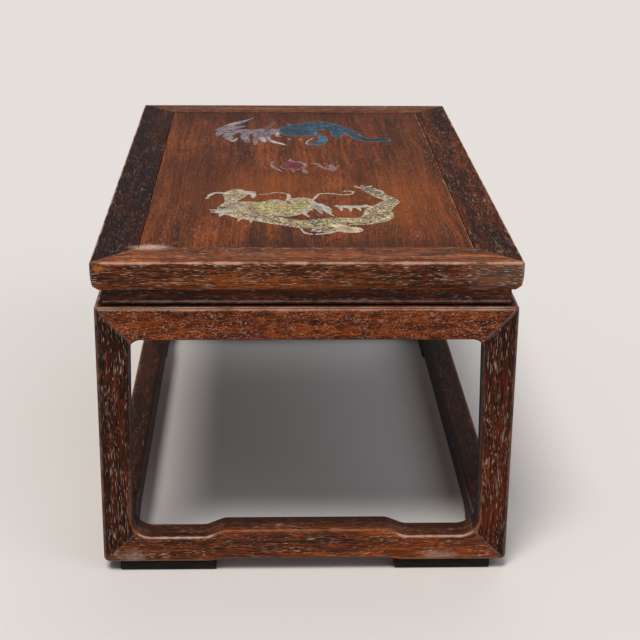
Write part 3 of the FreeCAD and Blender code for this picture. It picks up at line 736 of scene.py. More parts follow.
@dataclass(frozen=True)
class Patch(Dab):
    """A filled shape with a smooth outline, of flat rows x, y."""

    def spread(self, x: Grid, y: Grid) -> Tuple[Grid, Grid, Grid]:
        """How deep places lie in the patch, and where on it.

        Args:
            x: the places' x.
            y: the places' y.

        Returns:
            The depth inside the rim, negative outside, and the places' own x and y.
        """
        line = bend(list(zip(self.points[0::2], self.points[1::2])), OUTLINE_STEP_MM, closed=True)
        gap = np.full(x.shape, FAR_MM)
        inside = np.zeros(x.shape, bool)
        for (ax, ay), (bx, by) in zip(line, np.roll(line, -1, axis=0)):
            length = max((bx - ax) ** 2 + (by - ay) ** 2, TINY)
            t = np.clip(((x - ax) * (bx - ax) + (y - ay) * (by - ay)) / length, 0, 1)
            gap = np.minimum(gap, np.hypot(x - ax - t * (bx - ax), y - ay - t * (by - ay)))
            if ay != by:
                crosses = ((ay > y) != (by > y)) & (x < ax + (y - ay) * (bx - ax) / (by - ay))
                inside ^= crosses
        return np.where(inside, gap, -gap), x, y


def strokes(pigment: Pigment, *lines: Tuple[float, ...], **settings: Any) -> Tuple[Stroke, ...]:
    """Lay strokes of one pigment one after the other.

    Args:
        pigment: their pigment.
        lines: the flat rows of each.
        settings: what else they share.

    Returns:
        The strokes, the lowest first.
    """
    return tuple(Stroke(pigment, line, **settings) for line in lines)


# The dabs of each figure, the lowest first, in millimetres from the middle of the panel: first its broad
# shapes, then limbs, claws and hair with the tints that shade them, and dark lines last.
DRAGON_SPINE = (-40, -142, 9, -30, -151, 9, -19, -157, 9.5, -8, -163, 9.5, 3, -165.5, 11, 14, -161, 11,
                26, -158, 11, 37, -158, 9.5, 48, -155, 10.5, 55, -147, 12, 57, -138, 12, 57, -129, 10.5,
                61, -120, 8.5, 65, -111, 8, 69.5, -102.5, 6.5, 68, -94, 6, 63, -86, 6, 59, -77, 7,
                56, -68, 6.5, 51, -60, 4.5)
DRAGON = (
    Patch(Pigment.CREAM, (-66, -118, -63, -109, -61, -99, -63, -87, -62, -75, -54, -65, -46, -68, -43, -80,
                          -46, -91, -51, -101, -42, -102, -33, -103, -26, -97, -19, -96, -13, -101, -8, -93,
                          0, -90, 7, -95, 11, -106, 12, -116, 7, -126, 0, -137, -11, -144, -24, -145,
                          -33, -151, -42, -154, -51, -149, -59, -141, -66, -132), scaly=0.85),
    Stroke(Pigment.CREAM, DRAGON_SPINE, scaly=1.0),
    Stroke(Pigment.TAN, (-40, -144, 3, -19, -160, 3, 3, -170, 3.5, 28, -165, 3), soft=5.0, cover=0.6,
           tint=True),
    Stroke(Pigment.TAN, (48, -150, 4, 55, -141, 4.5, 52, -130, 3), soft=6.0, cover=0.7, tint=True),
    Stroke(Pigment.TAN, (66, -118, 1.5, 72, -103, 2, 70, -94, 1.5), soft=3.0, cover=0.5, tint=True),
    Stroke(Pigment.GREY, (-11, -156, 1.2, 3, -156.5, 1.4, 16, -150, 1.2), soft=2.0, cover=0.6, tint=True),
    Stroke(Pigment.CREAM, (23, -170, 6, 31, -179, 8.4, 35, -180, 8), scaly=0.5),
    Stroke(Pigment.TAN, (28, -176, 3, 33, -181, 3), soft=4.0, cover=0.6, tint=True),
    *strokes(
        Pigment.GREY,
        (-44, -77, 3.4, -39, -81, 3, -39, -91, 1.6),
        (-50, -70, 2.5, -44, -73, 2.4, -37, -75, 1.2),
        (-60, -78, 2.6, -68, -76, 2.4, -73, -82, 2.1, -75.5, -94, 1.2),
        (-36, -81, 0.9, -28, -80, 1.1, -22, -75.5, 1.1, -16, -76.5, 1.3, -11.5, -81, 1.8, -11, -90, 2,
         -12, -99, 1.6),
        (8, -97, 1.6, 11, -87, 1.5, 14, -79.5, 1.5, 23, -78, 1.4, 32, -82, 1.3, 39, -80, 1.4, 41, -73, 1.3,
         36, -70, 1.4, 33, -73, 1.1),
    ),
    Stroke(Pigment.STRAW, (-28, -119, 9, -14, -121, 11, -5, -118, 9), soft=8.0, cover=0.75, tint=True),
    Stroke(Pigment.STRAW, (0, -104, 3, 3, -109, 4), soft=4.0, cover=0.8, tint=True),
    Stroke(Pigment.STRAW, (-4, -163, 3, 18, -159, 4, 34, -157, 3), soft=5.0, cover=0.4, tint=True),
    Stroke(Pigment.TAN, (-40, -112, 3, -38, -128, 4, -34, -142, 3), soft=6.0, cover=0.5, tint=True),
    Stroke(Pigment.TAN, (-54, -70, 2, -52, -80, 2.5, -53, -88, 1.5), soft=3.0, cover=0.6, tint=True),
    Stroke(Pigment.ASH, (-60, -126, 4, -55, -115, 4, -48, -104, 3), soft=6.0, cover=0.6, tint=True),
    Stroke(Pigment.GREY, (-22, -98, 2, -20, -103, 4), soft=3.0, cover=0.7, tint=True),
    Stroke(Pigment.ASH, (62, -78, 3, 56, -68, 5, 50, -59, 5), soft=4.0, cover=0.8, tint=True),
    Stroke(Pigment.GREY, (55, -57, 1.8, 58, -52, 0.7)),
    Stroke(Pigment.ASH, (50, -58, 2.4, 48, -51, 0.8)),
    *strokes(
        Pigment.GREY,
        (46, -60, 2, 43, -54, 0.8),
        (60, -68, 2, 64, -71, 1.6, 65, -78, 1),
        (8, -107, 3.4, 14, -118, 3.4, 18, -129, 2.6, 20, -137, 1.8, 23, -144, 0.9),
        (2, -127, 2.2, 1, -138, 1.6, 5, -149, 0.9),
    ),
    Stroke(Pigment.ASH, (11, -116, 3, 12, -127, 2.2, 14, -137, 1)),
    *strokes(
        Pigment.GREY,
        (13, -110, 2.4, 19, -121, 2.2, 21, -132, 1),
        (52, -116, 2.5, 41, -117, 3.3, 31, -117, 3.8, 26, -115, 2),
        (29, -118, 2.4, 29, -130, 0.9),
        (36, -119, 2.4, 36, -132, 0.9),
        (42, -119, 2.2, 44, -128, 0.9),
        (48, -113, 1.8, 50, -111, 1.2),
        (-56, -128, 4.5, -64, -131, 3.6),
        (-65, -128, 2.2, -73, -125, 1),
        (-65, -134, 2, -71, -132, 1),
        (-62, -136, 2.4, -64, -146, 1),
        (-47, -148, 2.4, -50, -157, 0.9),
        (-41, -150, 2.8, -40, -161, 0.9),
        (-34, -152, 2.4, -32, -159, 0.9),
    ),
    Stroke(Pigment.TAN, (14, -174, 3, 8, -180, 4, 14, -184, 3, 22, -180, 3)),
    Stroke(Pigment.BLACK, (7, -179, 2.2, 14, -179, 3.4, 20, -175, 1.8), soft=0.8),
    Stroke(Pigment.GREY, (-3, -177, 1, -2, -183, 1.3, 1, -190, 1.5, 9, -191, 1.6, 19, -187, 1.8,
                          25, -181, 1.6)),
    *strokes(
        Pigment.GREY,
        (3, -187, 0.9, 6, -180, 1, 12, -176, 0.8),
        (9, -186, 0.8, 12, -180, 0.9, 17, -177, 0.8),
        soft=0.4,
    ),
    Stroke(Pigment.BLACK, (-65, -119, 1.2, -62, -121, 1.5, -59, -118, 0.8), soft=0.8),
    Stroke(Pigment.BLACK, (-60, -112, 0.7, -57, -114, 0.8), soft=0.6, cover=0.7),
    Stroke(Pigment.TAN, (-12, -103, 1.4, -11, -109, 2, -8, -113, 0.9), soft=1.0),
    *strokes(
        Pigment.BLACK,
        (-12, -104, 0.6, -11, -107, 1.3, -9, -109, 0.7),
        (3, -106, 0.6, 4, -108, 1.2, 6, -109, 0.6),
        soft=0.6, cover=0.8,
    ),
    Stroke(Pigment.BLACK, (-24, -142, 0.7, -14, -144.5, 1.1, -4, -141, 0.7), soft=0.6, cover=0.85),
    Stroke(Pigment.BLACK, (63, -125, 0.5, 66, -126.5, 0.8, 69, -126, 0.5), soft=0.6, cover=0.8),
    *strokes(
        Pigment.BLACK,
        (-4, -96, 0.5, -3, -98, 0.6),
        (2, -96, 0.5, 3, -98, 0.6),
        soft=0.4, cover=0.8,
    ),
)
BEAST = (
    Patch(Pigment.TEAL, (-18, 149, -13, 164, -2, 174, 7, 181, 18, 186, 27, 185, 36, 177, 43, 166, 48, 155,
                         46, 142, 42, 126, 39, 115, 32, 124, 31, 138, 30, 147, 24, 151, 19, 147, 18, 135,
                         15, 126, 4, 124, -8, 125, -14, 133), scaly=0.8),
    Stroke(Pigment.TEAL, (46, 154, 5, 51, 135, 6, 57, 117, 6.2, 64, 108, 5.5, 73, 109, 7, 78, 111, 8),
           scaly=0.8),
    Stroke(Pigment.NAVY, (56, 120, 3, 64, 108, 4, 73, 109, 6, 78, 111, 6), soft=4.0, cover=0.85, tint=True),
    Stroke(Pigment.NAVY, (-10, 150, 3, 0, 140, 5, 6, 132, 4), soft=8.0, cover=0.5, tint=True),
    Stroke(Pigment.SLATE, (6, 180, 0.8, 18, 184, 1.4, 28, 182, 1.2, 40, 168, 0.9), soft=3.0, cover=0.8,
           tint=True),
    Stroke(Pigment.TEAL, (18, 134, 4, 22, 122, 4, 24, 110, 4.2, 21, 100, 5, 17, 94, 7)),
    Stroke(Pigment.BRIGHT_TEAL, (20, 126, 1.8, 22, 116, 2.4, 23.5, 104, 1.8), soft=2.2, cover=0.9,
           tint=True),
    Stroke(Pigment.NAVY, (15, 96, 3, 19, 95, 3), soft=4.0, cover=0.8, tint=True),
    Stroke(Pigment.PEARL_WHITE, (14.5, 117, 1, 11, 109, 1.3, 8.5, 100, 1.4, 8.5, 91, 1.2, 13, 86, 0.9),
           soft=1.4, cover=0.85),
    Stroke(Pigment.ASH, (24, 152, 0.7, 19, 146, 1, 17.5, 134, 0.8), soft=1.6, cover=0.6, tint=True),
    *strokes(
        Pigment.LILAC,
        (-72, 149, 4, -66, 163, 5, -56, 178, 4.6, -48, 190, 2.8, -40, 201, 0.9),
        (-73, 124, 2, -71, 138, 4.5, -66, 150, 6, -57, 160, 5.5, -49, 166, 2),
        (-60, 104, 2.4, -63, 117, 4.2, -63, 131, 5, -56, 143, 6, -46, 149, 4),
        (-45, 100, 2.4, -48, 116, 4, -48, 132, 5, -44, 144, 6, -36, 150, 4),
        (-38, 86, 1.2, -38, 102, 2.6, -37, 120, 3.6, -36, 138, 4.6, -32, 152, 3),
        (-31, 104, 3.4, -29, 122, 4.6, -27, 138, 5.6, -22, 150, 4.5),
        (-17, 122, 2.2, -19, 136, 3.4, -19, 150, 3.4),
    ),
    Stroke(Pigment.PLUM, (-29, 150, 1.4, -24.5, 166, 2.2, -20, 186, 0.7)),
    Stroke(Pigment.PEARL_WHITE, (-65, 166, 1.2, -57, 179, 2, -50, 190, 1.2), soft=2.4, cover=0.7,
           tint=True),
    Stroke(Pigment.SLATE, (-67, 124, 3, -64, 138, 3.6, -60, 150, 2), soft=5.0, cover=0.8, tint=True),
    Stroke(Pigment.PEARL_WHITE, (-59, 103, 2.4, -56, 110, 2, -55, 116, 1), soft=1.6, cover=0.85),
    Stroke(Pigment.PEARL_WHITE, (-33, 118, 2, -31.5, 108, 2.6, -30, 99, 1.4), soft=1.6),
    Stroke(Pigment.PEARL_WHITE, (-26, 118, 1.4, -25, 108, 2.6, -20, 98, 3.4, -13, 91, 2.4, -9.5, 87, 1),
           soft=1.4),
    Stroke(Pigment.PEARL_WHITE, (-17, 141, 0.9, -18.5, 132, 1.5, -20, 124, 1), soft=1.2),
    Stroke(Pigment.PLUM, (-33, 140, 1, -34, 126, 1.4, -33, 114, 0.7), soft=1.6, cover=0.6, tint=True),
    Stroke(Pigment.PLUM, (-27, 136, 1, -26, 146, 1.3, -24, 154, 0.7), soft=1.6, cover=0.5, tint=True),
    Stroke(Pigment.DUSK, (-9, 178, 1, -7, 174, 2, -5, 170, 1.2), soft=1.4),
    *strokes(
        Pigment.DUSK,
        (-8.5, 117, 1, -7.5, 111, 1.4, -6, 107, 0.7),
        (1, 116, 1, 2.5, 111, 1.4, 4, 106, 0.7),
    ),
    Stroke(Pigment.BLACK, (-27, 130, 0.7, -25, 128, 1.2, -23, 128.5, 0.7), soft=0.8, cover=0.8),
)
PEARL = (
    Patch(Pigment.CRIMSON, (-17, 12, -13, 23, -6.7, 27, -0.2, 23, 4.6, 13, 1, 3, -3.6, -4, -9.5, -1.5,
                            -15.4, 4)),
    Stroke(Pigment.ROSE, (-12, 12, 1.4, -9, 20, 1.6, -4, 22, 1), soft=3.0, cover=0.5, tint=True),
    Stroke(Pigment.ROSE, (-9, 4, 2, -6, -1, 2.4, -6, -9, 1.2), soft=3.0, cover=0.7),
    *strokes(
        Pigment.DUSK,
        (-6.5, 38, 0.8, -8, 31, 2.2, -5, 27, 1.6),
        (-3, 27, 1, 2, 24, 1.8, 5, 16, 1.1, 5.4, 8, 1, 3, 1, 1.4, 4, -7, 2, 5.5, -16, 0.9),
        (-23, 27, 1, -24, 18, 1.6, -23, 9, 1.6, -20, 2, 1.8, -17, -4, 1, -16, -8, 0.6),
        (9, 20, 0.9, 14, 20, 2.2, 17.5, 14, 1.4, 19, 7, 1.8, 23, 2, 2.6, 27, 0, 3),
        (26.5, 14, 2, 27.5, 7, 3, 28, 0, 3, 27, -6, 1.2),
        (32, 13, 0.8, 32.5, 8, 1.2, 30, 2, 1),
        (21, 21, 1.2, 24, 20, 0.8),
    ),
    Stroke(Pigment.PLUM, (15.5, 12, 0.9, 16.5, 8, 1.1), soft=0.8),
)


@dataclass
class PaintedFigure:
    """A film of paint on the panel, made of dabs that run together, with a ragged and rubbed rim.

    The film's grid reaches half_width_mm across the panel and room_mm round each dab. A dab sets the lay of
    the brush up to overlap_mm past its rim, and the lay moves on by lay_shift_mm from dab to dab. The film
    thins down to rim_share of its film_mm over bevel_mm, and ends sunk_mm under the panel's face. The fray
    reaches margin_mm out from the drawn rim.
    """

    name: str
    dabs: Sequence[Dab]
    finish: FigurePaint
    film_mm: float = 0.12
    step_mm: float = 0.6
    ragged_mm: float = 0.9
    worn: float = 0.5
    seed: float = 1.0
    half_width_mm: float = 100.0
    room_mm: float = 9.0
    overlap_mm: float = 0.6
    lay_shift_mm: float = 3.7
    bevel_mm: float = 0.8
    rim_share: float = 0.35
    sunk_mm: float = 0.05
    margin_mm: float = 1.5

    def field(self) -> Tuple[Grid, Grid, Grid, Grid, Grid, Grid]:
        """Lay a grid over the figure and find the paint at each of its points.

        Returns:
            Grids of x, y, the depth inside the rim, the colour, the lay of the brush, and the scales.
        """
        far = max(abs(value) for dab in self.dabs for value in dab.points) + self.room_mm
        columns = np.arange(-self.half_width_mm, self.half_width_mm, self.step_mm)
        rows = np.arange(-far, far, self.step_mm)
        x, y = np.meshgrid(columns, rows)
        depth = np.full(x.shape, -self.room_mm)
        colour = np.zeros(x.shape + (3,))
        lay = np.zeros(x.shape + (3,))
        scales = np.zeros(x.shape)
        for number, dab in enumerate(self.dabs):
            width = 2 if isinstance(dab, Patch) else 3
            xs, ys = dab.points[0::width], dab.points[1::width]
            room = self.room_mm + (0 if width == 2 else max(dab.points[2::3]))
            across = slice(*np.searchsorted(columns, (min(xs) - room, max(xs) + room)))
            down = slice(*np.searchsorted(rows, (min(ys) - room, max(ys) + room)))
            near = (down, across)
            found, along, aside = dab.spread(x[near], y[near])
            if not dab.tint:
                depth[near] = np.maximum(depth[near], found)
            share = np.clip(found / dab.soft + 0.5, 0, 1) * dab.cover
            if number == 0:
                share = np.ones_like(share)
            colour[near] += (np.array(linear(dab.pigment.value)[:3]) - colour[near]) * share[..., None]
            if not dab.tint:
                scales[near] += (dab.scaly - scales[near]) * share
                taken = found > -self.overlap_mm
                shift = np.full_like(along, number * self.lay_shift_mm)
                lay[near][taken] = np.stack([along, aside, shift], -1)[taken]
        return x, y, depth, colour, lay, scales

    def fray(self, x: Grid, y: Grid, depth: Grid) -> Grid:
        """Make the rim ragged, with streaks along the grain, and rub holes through the film.

        Args:
            x: the grid's x.
            y: the grid's y.
            depth: the depth inside the drawn rim.

        Returns:
            The depth inside the frayed rim.
        """
        result = depth.copy()
        for spot in zip(*np.nonzero(depth > -self.margin_mm)):
            px, py = float(x[spot]), float(y[spot])
            rim, streak, hole = (noise.noise(Vector((px / wide, py / long, self.seed + shift)))
                                 for wide, long, shift in FRAY_CELLS_MM)
            frayed = depth[spot] + self.ragged_mm * (rim + 0.6 * streak)
            kept = 0.95 - 0.6 * self.worn - (hole + 0.5 * streak)
            result[spot] = min(frayed, kept * 3)
        return result

    def places(self, x: Grid, y: Grid, depth: Grid, around: Grid, face: float) -> Grid:
        """Place the film's points: the outermost slide to the rim and sink, and the rest rise from it.

        Args:
            x: the grid's x.
            y: the grid's y.
            depth: the depth inside the frayed rim.
            around: how many of the four cells round each point are painted.
            face: the height of the panel's face in metres.

        Returns:
            The places of the points in metres.
        """
        rim = (around > 0) & (around < 4)
        slope_y, slope_x = np.gradient(depth, self.step_mm)
        steep = np.maximum(slope_x ** 2 + slope_y ** 2, 0.25)
        slide = 0.4 * self.step_mm
        pull = np.where(rim, np.clip(depth / steep, -slide, slide), 0)
        raised = np.clip(depth / self.bevel_mm, 0, 1)
        level = face + self.film_mm * MM * (self.rim_share + (1 - self.rim_share) * raised)
        level = np.where(rim, face - self.sunk_mm * MM, level)
        return np.stack([(x - pull * slope_x) * MM, (y - pull * slope_y) * MM, level], -1)

    def build(self, face: float) -> bpy.types.Object:
        """Make the film's mesh on the face of the panel.

        Args:
            face: the height of the panel's face in metres.

        Returns:
            The new piece.
        """
        x, y, drawn, colour, lay, scales = self.field()
        depth = self.fray(x, y, drawn)
        shown = depth > -0.3 * self.step_mm
        cells = shown[:-1, :-1] & shown[1:, :-1] & shown[:-1, 1:] & shown[1:, 1:]
        around = np.zeros(shown.shape, int)
        for down in (0, 1):
            for across in (0, 1):
                around[down:cells.shape[0] + down, across:cells.shape[1] + across] += cells
        used = around > 0
        points = self.places(x, y, depth, around, face)[used]

        number = np.full(shown.shape, -1)
        number[used] = np.arange(used.sum())
        row, column = np.nonzero(cells)
        faces = np.stack([number[row, column], number[row, column + 1], number[row + 1, column + 1],
                          number[row + 1, column]], -1)
        mesh = bpy.data.meshes.new(self.name)
        mesh.from_pydata(points.tolist(), [], faces.tolist())
        mesh.shade_smooth()
        tinted = np.concatenate([colour[used], np.ones((len(points), 1))], 1)
        for name, kind, key, values in (
            ("paint", "FLOAT_COLOR", "color", tinted),
            ("lay", "FLOAT_VECTOR", "vector", lay[used]),
            ("scales", "FLOAT", "value", scales[used]),
            ("depth", "FLOAT", "value", drawn[used]),
        ):
            mesh.attributes.new(name, kind, "POINT").data.foreach_set(key, values.ravel())
        mesh.materials.append(self.finish.build())
        piece = bpy.data.objects.new(self.name, mesh)
        bpy.context.scene.collection.objects.link(piece)
        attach(piece, "root")
        return piece


def dress(material: bpy.types.Material, pieces: Iterable[str]) -> List[str]:
    """Put a material on pieces of the frame.

    Args:
        material: the material.
        pieces: the names of the pieces.

    Returns:
        Those names.
    """
    names = list(pieces)
    for name in names:
        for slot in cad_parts[name].material_slots:
            slot.material = material
    return names


@dataclass
class TopFrame:
    """The four mitred rails round the panel."""

    # The worn edges' colour is wear with a painted highlight on it.
    wear_and_highlight: str = "#c9987c"
    joint: str = "#0e0605"
    dust: str = "#85705f"
    scuff: str = "#cbb5ab"
    long_width: float = 31 * MM
    short_width: float = 35 * MM

    def marks(self) -> Tuple[Mark, ...]:
        """What age left on the rails: rubbed edges with a painted highlight on them, opened mitres, a chip,
        a scuff and a patch of filler.

        Returns:
            The marks, the lowest layer first.
        """
        left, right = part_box("top_rail_left"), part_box("top_rail_right")
        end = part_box("top_rail_back")[1].y
        low, high = (left[0].x, -end, left[0].z), (right[1].x, end, right[1].z)
        inner = (high[0] - self.long_width, high[1] - self.short_width, high[2])
        mitre = (self.short_width, -self.long_width, 0)
        filled = (high[0] - 14 * MM, low[1], high[2] - 10 * MM)
        chipped = (low[0] + 6 * MM, low[1], high[2] - 5 * MM)
        scuffed = (-inner[0] + 8 * MM, -inner[1], high[2])
        return (
            SpotMark("#9a8577", reach_mm=3.0, strength=0.16, ragged_mm=1.6, patch_mm=3.0, soft_mm=1.6,
                     centre=filled, radii=(26 * MM, 6 * MM, 12 * MM)),
            # Worn edges, pale also as a painted highlight along them.
            ArrisMark(self.wear_and_highlight, reach_mm=1.1, strength=0.85, ragged_mm=1.2, patch_mm=16.0, soft_mm=0.9,
                      roughness=0.35, low=low, high=high),
            LineMark(self.dust, reach_mm=0.6, strength=0.4, ragged_mm=0.35, patch_mm=8.0, soft_mm=0.3,
                     roughness=0.8, normal=mitre, through=inner),
            LineMark(self.joint, reach_mm=0.3, strength=0.9, ragged_mm=0.1, patch_mm=5.0, soft_mm=0.15,
                     roughness=0.8, normal=mitre, through=inner),
            SpotMark("#b5702c", reach_mm=3.0, strength=0.7, ragged_mm=2.2, patch_mm=2.2, soft_mm=2.4,
                     centre=chipped, radii=(3.2 * MM, 2.6 * MM, 2 * MM)),
            SpotMark(self.scuff, reach_mm=3.0, strength=0.75, ragged_mm=1.6, patch_mm=2.5, soft_mm=2.2,
                     centre=scuffed, radii=(11 * MM, 4.5 * MM, 5 * MM)),
        )

    def dress(self) -> List[str]:
        """Give the rails their finish.

        Returns:
            The names of the pieces.
        """
        marks = self.marks()
        names: List[str] = []
        # The end rails are warm red-brown, and their tops are painted lighter, the front one's most.
        for side, graded in (("front", 0.85), ("back", 0.25)):
            short = FilledHardwood(f"hardwood_{side}_rail_lacquered", Grain.X, "#1a0803", "#532408",
                                   "#904812", empty=1.0, top_tone=1 + graded, marks=marks)
            names += dress(short.build(), [f"top_rail_{side}"])
        # The long rails are darker and duller, with long pores; the left one is painted nearly black, as
        # painted shade.
        for side, woods, filler, length, filled in (
            ("left", ("#0a0302", "#200a05", "#431806"), "#9a7c66", 8.0, 0.38),
            ("right", ("#150603", "#3a1407", "#6b2e0c"), "#b08f74", 9.0, 0.5),
        ):
            long = FilledHardwood(f"hardwood_{side}_rail_lacquered", Grain.Y, *woods, filler=filler,
                                  pore_mm=(length, 0.36), filled=filled, cake=0.75, empty=0.6,
                                  roughness=0.5, gloss=0.16, marks=marks)
            names += dress(long.build(), [f"top_rail_{side}"])
        return names


@dataclass
class PaintedPanel:
    """The floating panel, with the dragon, pearl and beast painted on it, and the battens below."""

    stain: str = "#2b140c"
    glow: str = "#a8571c"
    scuff: str = "#cbb5ab"
    half_width: float = 119 * MM
    half_length: float = 225 * MM

    def marks(self) -> Tuple[Mark, ...]:
        """What age left on the panel: clouds in its stain, a scuff at the near left, and a pale right edge,
        a painted highlight.

        Returns:
            The marks, the lowest layer first.
        """
        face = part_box("top_panel")[1].z
        marks: List[Mark] = []
        for colour, strength, ragged_mm, x, y, wide, long in (
            (self.glow, 0.4, 1.8, -35 * MM, -60 * MM, 45 * MM, 60 * MM),
            (self.glow, 0.35, 1.8, 75 * MM, -95 * MM, 30 * MM, 75 * MM),
            (self.stain, 0.45, 1.6, 35 * MM, -self.half_length, 95 * MM, 20 * MM),
            (self.stain, 0.5, 1.8, -85 * MM, -10 * MM, 36 * MM, 95 * MM),
            (self.stain, 0.3, 1.8, 85 * MM, 90 * MM, 30 * MM, 90 * MM),
            (self.stain, 0.5, 1.8, 0, self.half_length, 150 * MM, 55 * MM),
        ):
            marks.append(SpotMark(colour, reach_mm=3.0, strength=strength, ragged_mm=ragged_mm,
                                  patch_mm=40.0, soft_mm=ragged_mm + 0.8, roughness=0.5,
                                  centre=(x, y, face), radii=(wide, long, 9 * MM)))
        scuffed = (-self.half_width + 9 * MM, -self.half_length + 1 * MM, face)
        marks.append(SpotMark(self.scuff, reach_mm=3.0, strength=0.8, ragged_mm=1.6, patch_mm=2.5,
                              soft_mm=2.2, centre=scuffed, radii=(10 * MM, 5.5 * MM, 5 * MM)))
        # A pale line along the panel's right edge, a painted highlight.
        marks.append(LineMark("#b98a63", reach_mm=0.3, strength=0.5, ragged_mm=0.7, patch_mm=18.0,
                              soft_mm=0.4, normal=(1, 0, 0), through=(self.half_width - 1 * MM, 0, 0),
                              single=True))
        return tuple(marks)

    def dress(self) -> List[str]:
        """Give the panel and the battens their finish.

        Returns:
            The names of the pieces.
        """
        # A quiet board with long broad figure, redder than the rails, and with few flecks.
        board = FilledHardwood("hardwood_panel_lacquered", Grain.Y, "#3f1c0c", "#662e12", "#8b4518",
                               filler="#a0714a", figure_mm=(320.0, 19.0), streak_mm=(110.0, 2.6),
                               fibre_mm=(26.0, 0.7), pore_mm=(8.0, 0.5), contrast=0.8, filled=0.35,
                               empty=0.9, roughness=0.46, marks=self.marks())
        # Bare planed wood out of sight: dull, and lighter than the lacquered faces.
        batten = FilledHardwood("hardwood_batten_planed", Grain.X, "#24120b", "#43271a", "#543321",
                                filled=0.3, roughness=0.6)
        return dress(board.build(), ["top_panel"]) + dress(batten.build(), ["batten_front", "batten_back"])

    def paint(self) -> List[str]:
        """Paint the figures.

        Returns:
            The names of the pieces.
        """
        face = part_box("top_panel")[1].z
        # Straw and cream with a net of scales; teal with broad dark brushing; crimson, rubbed and mottled.
        gold = FigurePaint("lacquer_paint_straw_and_cream", net="#3a2818", rim="#b0a79a",
                           scale_mm=(3.0, 2.4), brush_mm=(9.0, 1.5), mottle=(0.68, 1.45))
        blue = FigurePaint("lacquer_paint_teal_and_lilac", net="#121e27", rim="#7b8187", rubbed=0.42,
                           scale_mm=(5.0, 5.5), brush_mm=(13.0, 2.4), mottle=(0.45, 1.75))
        red = FigurePaint("lacquer_paint_crimson_and_lilac", net="#401820", rubbed=0.38, brush_mm=(9.0, 1.8),
                          mottle=(0.6, 1.5))
        figures = (
            PaintedFigure("dragon", DRAGON, gold, seed=3.0, worn=0.5),
            PaintedFigure("beast", BEAST, blue, seed=17.0, worn=0.5, ragged_mm=1.5),
            PaintedFigure("flaming_pearl", PEARL, red, seed=31.0, worn=0.45, ragged_mm=1.1),
        )
        return [figure.build(face).name for figure in figures]


